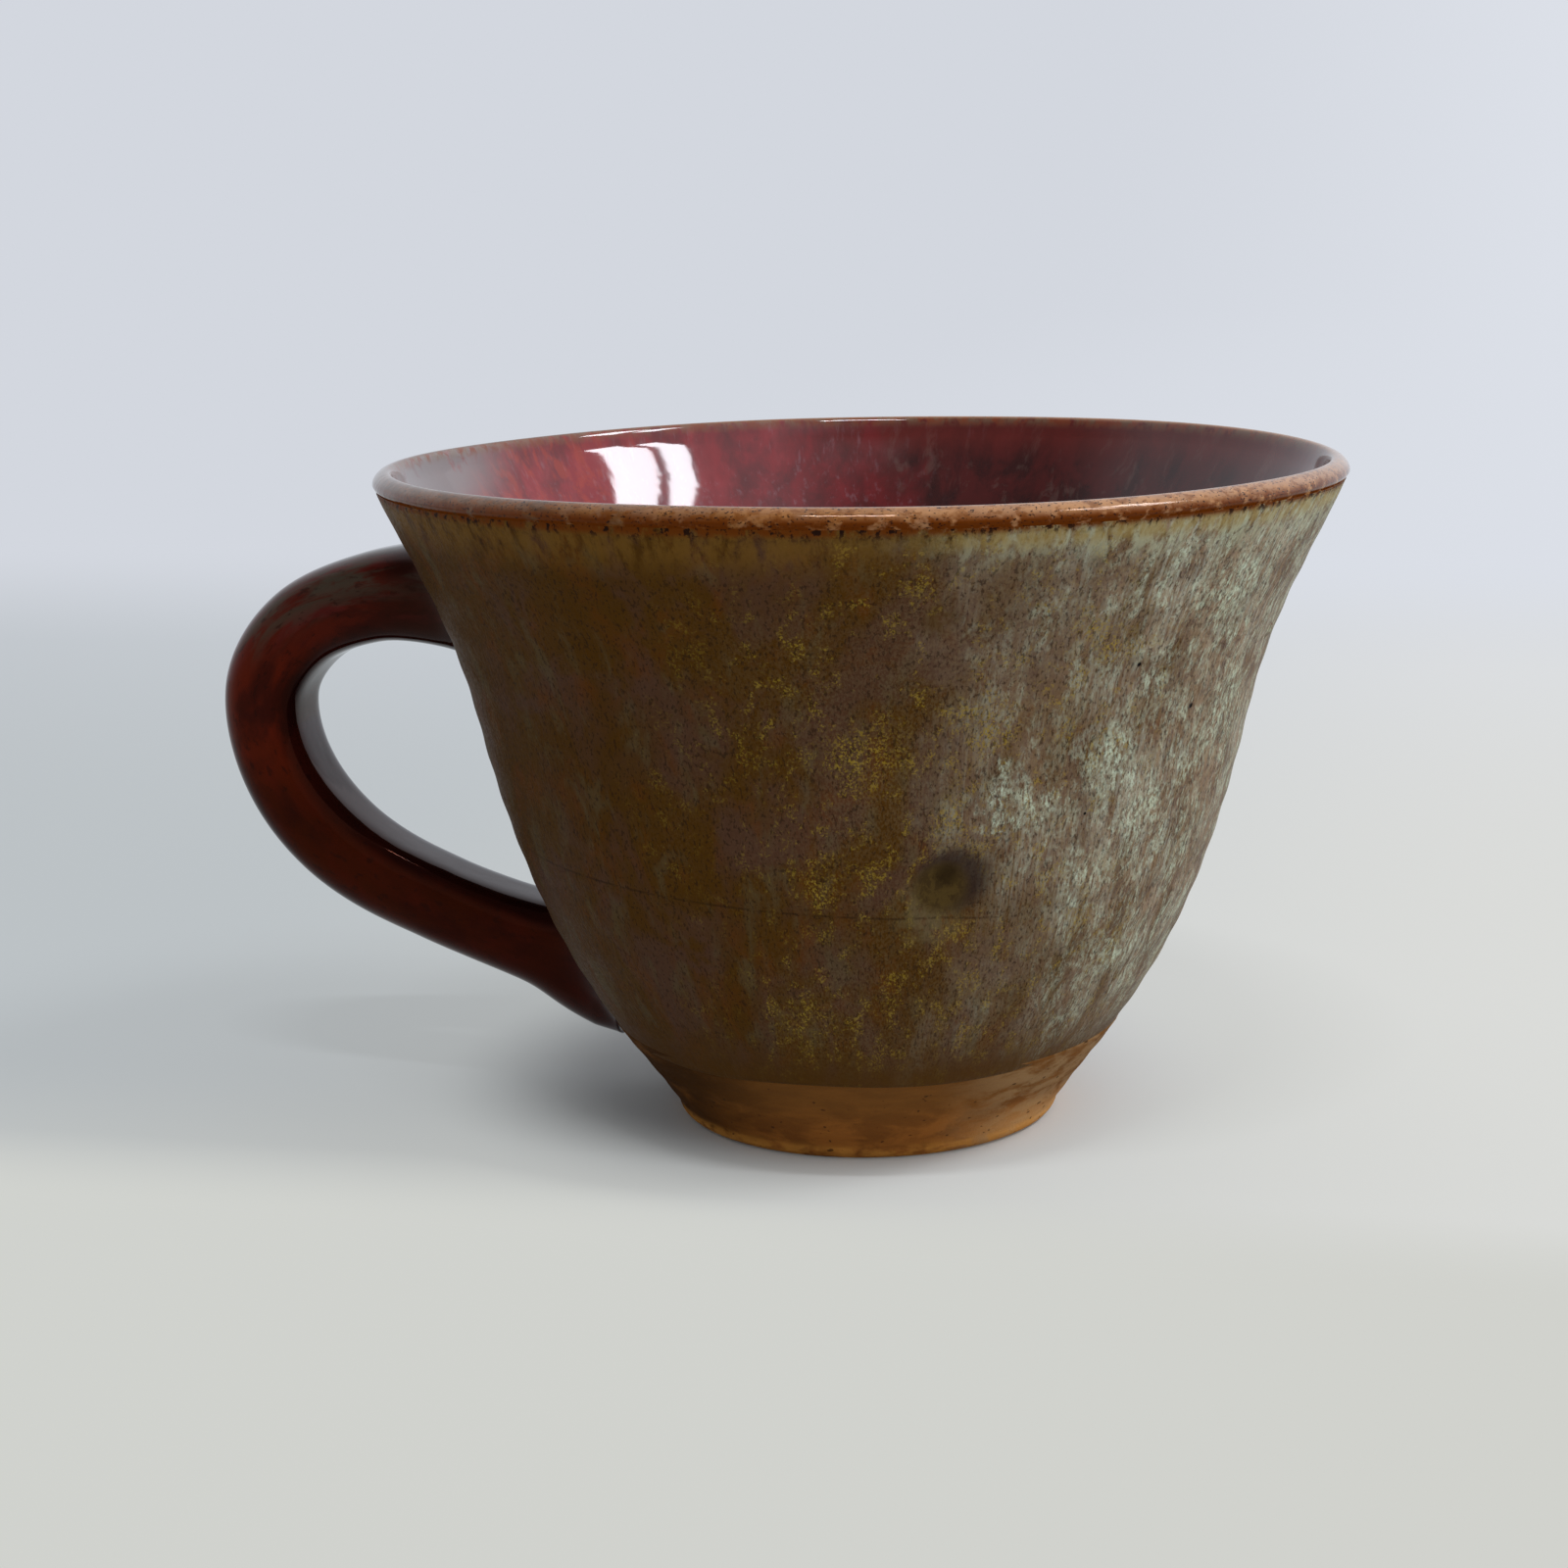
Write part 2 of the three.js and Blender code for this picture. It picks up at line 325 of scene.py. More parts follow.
def linear(colour: str) -> tuple[float, float, float, float]:
    """Turns an sRGB hex colour such as 8a3038 to linear values.

    Args:
        colour: Six hex digits.

    Returns:
        Red, green and blue, with alpha 1.
    """
    values = [int(colour[k:k + 2], 16) / 255 for k in (0, 2, 4)]
    curve = [v / 12.92 if v <= 0.04045 else ((v + 0.055) / 1.055) ** 2.4 for v in values]
    return curve[0], curve[1], curve[2], 1.0


def add_node(
    tree: bpy.types.NodeTree, kind: str, inputs: dict[Any, Any], **settings: Any,
) -> bpy.types.Node:
    """Adds one node with its settings, values and links.

    Args:
        tree: The tree that it goes into.
        kind: The node's Blender type, without the ShaderNode in front.
        inputs: For each input, by name or number, the socket that feeds it or its value.
        **settings: The node's own options.

    Returns:
        The new node.
    """
    node = tree.nodes.new("ShaderNode" + kind)
    for option, value in settings.items():
        setattr(node, option, value)
    for socket, value in inputs.items():
        if isinstance(value, bpy.types.NodeSocket):
            tree.links.new(value, node.inputs[socket])
        else:
            node.inputs[socket].default_value = value
    return node


@dataclass(frozen=True)
class Patches:
    """A pattern of soft patches drawn by noise along the flow, with its sizes in millimetres.

    Grain is the size of a patch across the flow, and stretch how many times longer it is along
    the flow. Onset and full are the noise levels where a patch begins and is whole, and cover
    is the value inside a whole patch.
    """

    grain: float
    stretch: float
    onset: float
    full: float
    detail: float
    rough: float
    warp: float
    shift: float
    cover: float = 1.0


class FinishTree:
    """The node tree of one finish, built up from a ground colour tone by tone.

    A mask is a socket with values from 0 to 1, a pattern of patches, or None, which is left out.
    """

    def __init__(self, name: str, ground: str) -> None:
        """Starts a material with its ground colour.

        Args:
            name: Name of the material.
            ground: sRGB hex of the ground colour.
        """
        self.material = bpy.data.materials.new(name)
        self.material.use_nodes = True
        self.tree = self.material.node_tree
        self.tree.nodes.clear()
        self.material.diffuse_color = linear(ground)
        self.flow = self.add("Attribute", {}, attribute_name=FLOW).outputs["Vector"]
        self.place = self.add("TexCoord", {}).outputs["Object"]
        self.colour: Any = linear(ground)
        self.height: Any = None

    def add(self, kind: str, inputs: dict[Any, Any], **settings: Any) -> bpy.types.Node:
        """Adds a node to this finish, as add_node does."""
        return add_node(self.tree, kind, inputs, **settings)

    @cached_property
    def flows(self) -> Any:
        """Sockets of the glaze flow's three values."""
        return self.add("SeparateXYZ", {0: self.flow}).outputs

    @cached_property
    def places(self) -> Any:
        """Sockets of the place's x, y and z."""
        return self.add("SeparateXYZ", {0: self.place}).outputs

    @cached_property
    def side(self) -> Any:
        """Socket of how far a place lies to the right of the axis in the photograph."""
        parts = {0: self.place, 1: VIEW_RIGHT}
        return self.add("VectorMath", parts, operation="DOT_PRODUCT").outputs["Value"]

    def wandering_side(self, bends: Patches, sway: float, back: float = 0.0) -> Any:
        """The side moved by patches, so that what follows it has no straight edge.

        Args:
            bends: The patches that move it.
            sway: How far a whole patch moves it.
            back: How far it is moved back everywhere.

        Returns:
            The socket that holds it.
        """
        parts = {0: self.patches(bends), 1: sway, 2: self.side}
        moved = self.add("Math", parts, operation="MULTIPLY_ADD").outputs[0]
        return self.add("Math", {0: moved, 1: back}, operation="SUBTRACT").outputs[0]

    def ramp(self, value: Any, start: float, end: float, top: float = 1.0) -> Any:
        """Mask that softly follows a socket, from 0 at start to top at end."""
        levels = {"Value": value, "From Min": start, "From Max": end, "To Max": top}
        return self.add("MapRange", levels, interpolation_type="SMOOTHSTEP").outputs[0]

    def patches(self, spec: Patches) -> Any:
        """Draws a pattern of patches.

        Args:
            spec: The pattern.

        Returns:
            The socket that holds the mask.
        """
        scale = (1.0 / spec.grain, 1.0 / spec.grain, 1.0 / (spec.grain * spec.stretch))
        placed = {"Vector": self.flow, "Scale": scale, "Location": (spec.shift,) * 3}
        noise = self.add("TexNoise", {
            "Vector": self.add("Mapping", placed).outputs[0], "Scale": 1.0, "Detail": spec.detail,
            "Roughness": spec.rough, "Distortion": spec.warp,
        }).outputs[0]
        return self.ramp(noise, spec.onset, spec.full, spec.cover)

    def both(self, *masks: Any, rule: str = "MULTIPLY") -> Any:
        """The product of the masks.

        Args:
            *masks: The masks.
            rule: The operation that joins two of them.

        Returns:
            The socket that holds it.
        """
        given = [mask for mask in masks if mask is not None]
        total, *rest = [self.patches(m) if isinstance(m, Patches) else m for m in given]
        for mask in rest:
            total = self.add("Math", {0: total, 1: mask}, operation=rule).outputs[0]
        return total

    def either(self, *masks: Any) -> Any:
        """The greatest of the masks."""
        return self.both(*masks, rule="MAXIMUM")

    def over(self, mask: Any, under: Any, above: Any) -> Any:
        """One colour laid over another by a mask, each a socket or linear values."""
        return self.add("Mix", {0: mask, 6: under, 7: above}, data_type="RGBA").outputs[2]

    def blend(self, colour: str, *masks: Any) -> None:
        """Lays a colour over the colour so far by the product of the masks."""
        self.colour = self.over(self.both(*masks), self.colour, linear(colour))

    def raise_by(self, depth: float, *masks: Any) -> None:
        """Adds the product of the masks to the relief, with its depth in millimetres."""
        parts = {0: self.both(*masks), 1: depth, 2: 0.0 if self.height is None else self.height}
        self.height = self.add("Math", parts, operation="MULTIPLY_ADD").outputs[0]

    def surface(self, shine: dict[str, Any]) -> Any:
        """Joins colour, relief and shine in one surface.

        Args:
            shine: Values and sockets of the surface shader, by input name.

        Returns:
            The shader socket.
        """
        inputs = {"Base Color": self.colour, **shine}
        if self.height is not None:
            relief = {"Height": self.height, "Distance": MM, "Strength": 1.0}
            inputs["Normal"] = self.add("Bump", relief).outputs[0]
        return self.add("BsdfPrincipled", inputs).outputs[0]

    def finish(self, shine: dict[str, Any]) -> bpy.types.Material:
        """Puts the surface of surface() out and returns the finished material."""
        self.add("OutputMaterial", {"Surface": self.surface(shine)})
        return self.material


# Finishes


@dataclass(frozen=True)
class RutileSatin:
    """Rutile glaze on the outer wall, fired to a satin mottle.

    Titanium crystals grow while it cools, so it has grey-green streaks along the run, ochre
    specks in clusters, and breaks to rust where it is thin at the lip. Painted light makes it
    paler on the right, with grey-green feathers there that are partly the glaze's own streaks
    and partly painted sheen, and painted shade makes it darker on the left.
    """

    name: str = "rutile_satin_glaze"
    ground: str = "472d09"
    roughness: float = 0.42
    sheen: float = 0.022

    def build(self, wall_run: float, marks: "WallMarks") -> bpy.types.Material:
        """Builds the material. The flow's third value is the run down from the lip's corner.

        Args:
            wall_run: Length of the wall from the lip's corner to the glaze line.
            marks: The dents and pits whose glaze differs.

        Returns:
            The material.
        """
        f = FinishTree(self.name, self.ground)
        run = f.flows[2]
        side = f.wandering_side(Patches(13, 1.6, 0.3, 0.7, 4, 0.6, 0.3, 66.0), 0.015, 0.0075)
        lit_side = f.ramp(side, 0.003, 0.038)
        shaded_left_side = f.ramp(side, 0.012, -0.030)
        # Real needles are under 0.1 mm wide. These two are as coarse as they need to be to show.
        hair = f.patches(Patches(0.34, 12, 0.42, 0.6, 3, 0.6, 0.0, 3.1))
        grain = f.patches(Patches(0.26, 1.6, 0.40, 0.60, 2, 0.7, 0.0, 8.7))

        f.blend("4a3226", Patches(8, 1.5, 0.44, 0.6, 5, 0.62, 0.6, 1.3, 0.8))
        # Painted shade: a darker ground on the left. Painted light: a paler ground, with its own
        # mottle, on the right.
        f.blend("452b05", Patches(11, 1.3, 0.40, 0.6, 5, 0.62, 0.4, 5.2, 0.85), shaded_left_side)
        f.blend("8a735e", Patches(5, 1.8, 0.32, 0.58, 6, 0.7, 0.4, 9.4, 0.9), lit_side)
        f.blend("582e08", Patches(4.5, 1.6, 0.50, 0.70, 5, 0.64, 0.5, 12.7, 0.5))
        f.blend("50462f", Patches(3.2, 2.4, 0.52, 0.68, 5, 0.64, 0.3, 17.1, 0.45))
        f.blend("503d36", Patches(0.9, 1.9, 0.44, 0.58, 4, 0.7, 0.2, 57.0, 0.8), lit_side)
        # Grey-green feathers and needles on the lit side: partly the glaze's own streaks, partly
        # painted sheen.
        feather_and_sheen = f.both(Patches(2.0, 2.2, 0.43, 0.62, 6, 0.76, 0.7, 21.5, 0.8), lit_side)
        bloom = f.both(
            marks.near_any(f, marks.blooms), Patches(1.5, 2.0, 0.38, 0.56, 5, 0.74, 0.5, 68.0, 0.95))
        f.blend("b5c1a8", f.either(feather_and_sheen, bloom), Patches(0.42, 2.2, 0.38, 0.58, 4, 0.7, 0.0, 2.2))
        f.blend("b6bcaa", hair, Patches(5, 2, 0.4, 0.6, 3, 0.5, 0, 30.2, 0.4), lit_side)
        dusk = marks.near_any(f, marks.dusks)
        f.blend("5a4638", dusk, Patches(2.4, 1.6, 0.34, 0.56, 6, 0.74, 0.4, 72.0, 0.75))
        middle = f.both(f.ramp(side, -0.024, -0.004, 0.7), f.ramp(side, 0.036, 0.020))
        clusters = f.both(middle, Patches(2.2, 1.3, 0.51, 0.63, 4, 0.68, 0.4, 25.9))
        ripe = f.both(
            marks.near_any(f, marks.crystals), Patches(1.3, 1.4, 0.36, 0.56, 4, 0.7, 0.4, 74.0))
        specks = Patches(0.26, 1.1, 0.48, 0.58, 2, 0.6, 0.0, 28.8, 0.85)
        f.blend("8e7625", specks, f.either(clusters, ripe))
        # Pale grain that covers more towards the right: partly the glaze's grain, partly painted light.
        f.blend("7e6c4e", grain, f.ramp(side, -0.03, 0.04, 0.38))
        f.blend("20130a", Patches(0.32, 1.8, 0.54, 0.66, 2, 0.6, 0.0, 33.3, 0.6))

        veil = f.patches(Patches(1.2, 3, 0.34, 0.56, 5, 0.7, 0, 40.4))
        f.blend("694a1c", f.ramp(run, 7.5, 2.4), veil, f.ramp(side, 0.01, -0.02, 0.75))
        shreds = Patches(1.3, 2.2, 0.42, 0.58, 5, 0.72, 0.3, 70.0)
        f.blend("a2a488", f.ramp(run, 7.0, 2.4), shreds, f.ramp(side, -0.008, 0.032, 0.85))
        f.blend("8a7440", f.ramp(run, 4.2, 2.2), veil, f.ramp(side, -0.015, 0.02, 0.75))
        f.blend("5e2e08", Patches(1.2, 1.6, 0.3, 0.52, 4, 0.65, 0.3, 44.6), f.ramp(run, 1.9, 1.0))
        f.blend("22120a", Patches(0.6, 1.6, 0.52, 0.6, 4, 0.65, 0, 47.2), f.ramp(run, 2.4, 1.0))
        f.blend("482d0a", f.ramp(run, wall_run - 9.0, wall_run - 1.0, 0.8))

        marks.colour(f)
        f.raise_by(0.014, Patches(0.35, 1.4, 0.3, 0.7, 3, 0.6, 0, 51.0))
        f.raise_by(0.006, hair)
        f.raise_by(0.04, Patches(2.2, 1.6, 0.3, 0.7, 3, 0.5, 0, 53.0))
        satin = {"Value": grain, "To Min": self.roughness - 0.06, "To Max": self.roughness + 0.1}
        return f.finish({
            "Roughness": f.add("MapRange", satin).outputs[0], "Specular IOR Level": self.sheen})


@dataclass(frozen=True)
class OxbloodGloss:
    """Copper red liner glaze, fired to a wet gloss.

    Copper reduces to blood red where the coat is thick, turns milky mauve in streaks, and
    breaks to grey-green and rust where it runs thin off the lip. Painted light brightens the
    inner wall on the left and painted shade darkens it on the right, a painted grey reflection
    lies high on the far left, and the lip is painted darker on the left, paler on the right.
    """

    name: str = "oxblood_gloss_glaze"
    ground: str = "7b1e22"
    roughness: float = 0.06
    lip_gloss: float = 0.06
    ior: float = 1.5

    def build(self) -> bpy.types.Material:
        """Builds the material. The flow's third value is the run down inside from the ridge.

        Returns:
            The material.
        """
        f = FinishTree(self.name, self.ground)
        run = f.flows[2]
        side = f.wandering_side(Patches(6, 2.5, 0.3, 0.7, 4, 0.65, 0.3, 55.0), 0.016)
        f.blend("561a1c", Patches(6, 1.8, 0.42, 0.62, 5, 0.65, 0.3, 2.4, 0.8))
        # Painted shade: the inner wall darker, with near-black streaks, towards the right.
        f.blend("381611", f.ramp(side, -0.016, 0.024, 0.85))
        right, left = f.ramp(side, 0.002, 0.02), f.ramp(side, -0.01, -0.03)
        f.blend("1f0d0b", f.ramp(side, 0, 0.026), Patches(5, 2.2, 0.42, 0.62, 5, 0.65, 0.4, 49, 0.65))
        f.blend("5e4a42", right, Patches(2.4, 3, 0.52, 0.68, 4, 0.65, 0.4, 52, 0.35))
        f.blend("662018", f.ramp(side, -0.005, 0.02), f.ramp(run, 7.0, 2.0, 0.5))
        # Painted light: brighter red streaks on the left of the inner wall.
        f.blend("963c40", f.ramp(side, 0.01, -0.02), Patches(4, 3, 0.48, 0.66, 4, 0.6, 0.4, 7.7, 0.3))
        f.blend("96311c", left, Patches(2.2, 3, 0.48, 0.62, 4, 0.65, 0.3, 12.1, 0.5))
        f.blend("8a747a", f.ramp(side, 0.03, 0), Patches(1, 4, 0.54, 0.74, 4, 0.65, 0, 15.8, 0.25))
        # Painted reflection: a grey haze high on the far left of the inner wall.
        painted_haze = Patches(4, 1.6, 0.26, 0.5, 5, 0.68, 0.4, 80.0, 0.95)
        f.blend("766d6b", f.ramp(f.side, -0.0405, -0.0485), f.ramp(run, 12.0, 5.0), painted_haze)
        f.blend("6d5840", f.ramp(run, 2.0, 0.4, 0.7), Patches(1.6, 1.6, 0.36, 0.58, 4, 0.6, 0.3, 20.3))
        f.blend("70361e", Patches(1.5, 1.2, 0.46, 0.6, 4, 0.6, 0.3, 23.9), f.ramp(run, 1.9, 0.6))
        lip = f.ramp(run, 0.7, -0.2)
        f.blend("4c321c", lip)
        # Painted light and shade: the lip is painted darker on the left and paler towards the right.
        f.blend("966539", lip, f.ramp(side, -0.034, 0.0, 0.85))
        f.blend("a87c55", lip, f.ramp(side, 0.0, 0.03, 0.7))
        f.blend("7c5c48", lip, Patches(2.6, 0.6, 0.42, 0.58, 4, 0.6, 0.3, 26.6, 0.4))
        f.blend("6c3c12", lip, Patches(1.2, 0.7, 0.48, 0.62, 4, 0.6, 0.3, 31.5, 0.75))
        f.blend("5a2a08", f.ramp(run, -1.2, -2.4), Patches(1.6, 1, 0.3, 0.5, 3, 0.6, 0, 35.0))
        f.blend("2a1710", lip, Patches(0.35, 0.7, 0.60, 0.67, 2, 0.5, 0.0, 38.2))
        f.raise_by(0.008, Patches(3.5, 1.5, 0.2, 0.8, 2, 0.5, 0, 41.0))
        f.raise_by(0.012, lip, Patches(1.1, 1, 0.3, 0.7, 2, 0.5, 0, 43.0))
        tint = f.over(lip, linear("ffffff"), linear("c8a480"))
        return f.finish({
            "Roughness": self.roughness, "IOR": self.ior,
            "Specular Tint": f.over(f.ramp(run, -1.2, -2.0), tint, linear("5a2c10")),
            "Specular IOR Level": f.ramp(run, -2.8, -2.0, 0.5),
            "Coat Weight": f.both(f.ramp(run, 1.5, -0.3, 0.2), f.ramp(run, -2.0, -1.3)),
            "Coat Roughness": self.lip_gloss,
        })


@dataclass(frozen=True)
class HandleGloss:
    """Iron red glaze on the handle, thick and wet.

    It is nearly black where it pools, dark red over the strap, and turns brown on the lower
    limb, with streaks of the wall's rutile on the back of the upper one. Painted shade darkens
    the lower limb, most towards its bottom.
    """

    name: str = "dark_red_gloss_glaze"
    ground: str = "4a1307"
    roughness: float = 0.07
    ior: float = 1.6
    tint: str = "6a3018"
    glint: float = 0.025

    def build(self) -> bpy.types.Material:
        """Builds the material. The flow runs down the strap from the upper root.

        Returns:
            The material.
        """
        f = FinishTree(self.name, self.ground)
        height, back, run = f.places[2], f.flows[1], f.flows[2]
        high, low = f.ramp(height, 0.050, 0.058), f.ramp(height, 0.050, 0.028)
        f.blend("200706", Patches(5, 2.5, 0.42, 0.6, 4, 0.6, 0.4, 2.9, 0.8))
        f.blend("3f1302", low, Patches(4, 1.6, 0.34, 0.66, 5, 0.6, 0.4, 6.3, 0.8))
        f.blend("2c0d09", f.ramp(height, 0.050, 0.062, 0.5))
        # Painted shade: the lower limb is darkened.
        f.blend("1d0500", f.ramp(height, 0.042, 0.033, 0.55), f.ramp(height, 0.016, 0.025))
        f.blend("521a18", high, Patches(2.6, 4, 0.52, 0.64, 4, 0.6, 0.3, 13.4, 0.5))
        rutile = Patches(2.2, 5, 0.42, 0.58, 4, 0.65, 0.4, 9.9, 0.85)
        f.blend("37342a", high, f.ramp(back, -2.0, 3.0), rutile)
        f.blend("160706", Patches(0.9, 2.0, 0.58, 0.68, 3, 0.6, 0.0, 16.8, 0.55))
        f.blend("140605", f.ramp(back, -2.2, -4.2, 0.75))
        f.blend("1f110b", f.ramp(run, 26.0, 15.0, 0.7))
        # Painted shade: darker towards the bottom of the handle.
        f.blend("200503", f.ramp(height, 0.026, 0.014, 0.7))
        f.raise_by(0.03, Patches(4, 1.5, 0.2, 0.8, 2, 0.5, 0, 21.0))
        return f.finish({
            "Roughness": self.roughness, "IOR": self.ior, "Specular Tint": linear(self.tint),
            "Coat Weight": self.glint, "Coat Roughness": self.roughness,
        })


@dataclass(frozen=True)
class FiredStoneware:
    """Stoneware clay, thrown and sponged, fired bare with a thin ochre wash.

    It is matt and slightly gritty, brown under the glaze line and rubbed to ochre at the edge
    of the foot, with small dark spots of iron. Painted shade darkens it at the left, and
    painted light makes it paler on the right and orange at the right of the foot's edge.
    """

    name: str = "fired_stoneware"
    ground: str = "8c5624"
    roughness: float = 0.82
    sheen: float = 0.05

    def build(self) -> bpy.types.Material:
        """Builds the material. Height above the table sets the wash.

        Returns:
            The material.
        """
        f = FinishTree(self.name, self.ground)
        height, side = f.places[2], f.side
        f.blend("6a3f1a", Patches(6, 0.6, 0.4, 0.6, 5, 0.6, 0.4, 2.5, 0.8))
        f.blend("63401b", f.ramp(height, 0.003, 0.009, 0.75))
        right, left = f.ramp(side, 0.006, 0.018), f.ramp(side, -0.009, -0.021)
        edge = f.ramp(height, 0.0024, 0.0008)
        # Painted light: paler tan on the right, and orange at the right of the bottom edge. Painted
        # shade: darker on the left.
        f.blend("8e704c", right, Patches(4, 0.5, 0.36, 0.58, 5, 0.65, 0.4, 23.0, 0.8))
        f.blend("2f1903", left, Patches(9, 0.7, 0.24, 0.48, 5, 0.6, 0.3, 27.0, 0.85))
        f.blend("cc9a60", f.ramp(height, 0.0060, 0.0020, 0.55), f.ramp(side, 0.005, 0.019))
        f.blend("b37a34", edge, Patches(3.5, 0.6, 0.36, 0.56, 4, 0.6, 0.3, 6.1, 0.8))
        f.blend("34200f", Patches(0.8, 1.0, 0.72, 0.76, 1, 0.4, 0.0, 13.7, 0.8))
        f.raise_by(0.03, Patches(0.4, 1.0, 0.3, 0.7, 3, 0.65, 0, 17.0))
        f.raise_by(0.05, Patches(6.0, 0.12, 0.3, 0.7, 3, 0.5, 0, 19.0))
        return f.finish({"Roughness": self.roughness, "Specular IOR Level": self.sheen})


@dataclass(frozen=True)
class FiredSlip:
    """Luting slip, brushed on wet and fired: the same clay, finer and darker."""

    name: str = "fired_slip"
    ground: str = "6e4626"
    roughness: float = 0.85
    grit: float = 1.2

    def build(self) -> bpy.types.Material:
        """Builds the material from noise on the object's own place.

        Returns:
            The material.
        """
        f = FinishTree(self.name, self.ground)
        grit = {"Vector": f.place, "Scale": 1.0 / (self.grit * MM), "Detail": 4.0}
        noise = f.add("TexNoise", grit).outputs[0]
        f.blend("54351d", f.ramp(noise, 0.45, 0.6, 0.7))
        f.raise_by(0.05, noise)
        return f.finish({"Roughness": self.roughness})


@dataclass(frozen=True)
class StudioPaper:
    """Matt paper of the floor and backdrop: near white under the cup, a cool glow behind it.

    Behind the cup, camera, gloss and glass rays see a plain pale tone, so the light on the
    cup isn't raised to make the backdrop pale. The floor keeps the cup's shadow, and beyond
    the foot a share of the same tone, the veil, lightens it. Behind the cup and to its left the
    veil's tone is darker, a painted shadow of the cup falling to the left and back. The veil
    sets in between the two radii of its ring, and in front of the cup it is whole from the
    outer radius of the clear ring. The paper's own tone is darker to the left, painted shade
    where less light reaches. Places and radii are in metres.
    """

    name: str = "studio_paper"
    # Painted shade: the paper's tone is darker on the left.
    near_left_shaded: str = "b2b7b6"
    near_right: str = "d3d2cc"
    # Painted shadow: the veil's darker tone behind the cup and to its left.
    veil_behind_shadow: str = "bcc1c3"
    veil_left: str = "d0d2ce"
    veil_right: str = "d1d2cd"
    left: str = "d3d7df"
    right: str = "dfe3eb"
    left_edge: float = -0.13
    right_edge: float = 0.09
    front: float = -0.050
    glow_start: float = 0.08
    glow_end: float = 0.50
    half_width: float = 0.35
    veil: float = 0.6
    shade_centre: Place = (-0.006, 0.012, 0.0)
    veil_ring: Point = (0.028, 0.052)
    clear_ring: Point = (0.034, 0.056)

    def build(self) -> bpy.types.Material:
        """Builds the material, with the cooler tone coming in behind the cup.

        Returns:
            The material.
        """
        f = FinishTree(self.name, self.near_left_shaded)
        across = f.ramp(f.places[0], self.left_edge, self.right_edge)
        before = f.ramp(f.places[1], 0.0, self.front)
        behind = f.ramp(f.places[1], self.glow_start, self.glow_end)
        sideways = f.ramp(f.places[0], -self.half_width, self.half_width)
        f.blend(self.near_right, across)
        glow_tone = f.over(sideways, linear(self.left), linear(self.right))
        veil_tone = f.over(before, linear(self.veil_behind_shadow), linear(self.veil_left))
        veil_tone = f.over(across, veil_tone, linear(self.veil_right))
        tone = f.over(behind, veil_tone, glow_tone)
        glow = f.add("Emission", {"Color": tone, "Strength": 1.0}).outputs[0]
        rays = f.add("LightPath", {}).outputs
        seen = f.either(*(rays[f"Is {kind} Ray"] for kind in ("Camera", "Glossy", "Transmission")))
        shade = {0: f.place, 1: self.shade_centre}
        away = f.add("VectorMath", shade, operation="DISTANCE").outputs["Value"]
        clear = f.both(f.ramp(away, *self.clear_ring), before)
        veil = f.either(f.ramp(away, *self.veil_ring, self.veil), clear)
        share = f.both(f.either(behind, veil), seen)
        paper = f.surface({"Roughness": 0.9, "Specular IOR Level": 0.2})
        mixed = f.add("MixShader", {0: share, 1: paper, 2: glow}).outputs[0]
        f.add("OutputMaterial", {"Surface": mixed})
        return f.material


# Marks in the wall


@dataclass(frozen=True)
class Mark:
    """A place on the wall, by azimuth in degrees and height, that is dented, raised or toned."""

    azimuth: float
    height: float
    radius: float
    depth: float = 0.0

    def centre(self, outer: Line) -> Vector:
        """Its place on the outer wall.

        Args:
            outer: The wall's section line.

        Returns:
            The place in metres.
        """
        turn = math.radians(self.azimuth)
        radius = float(outer.radius_at(self.height))
        return Vector((radius * math.cos(turn), radius * math.sin(turn), self.height)) * MM


def spots(*rows: tuple[float, ...]) -> tuple[Mark, ...]:
    """Marks from rows of azimuth, height, radius and, for some, depth."""
    return tuple(Mark(*row) for row in rows)


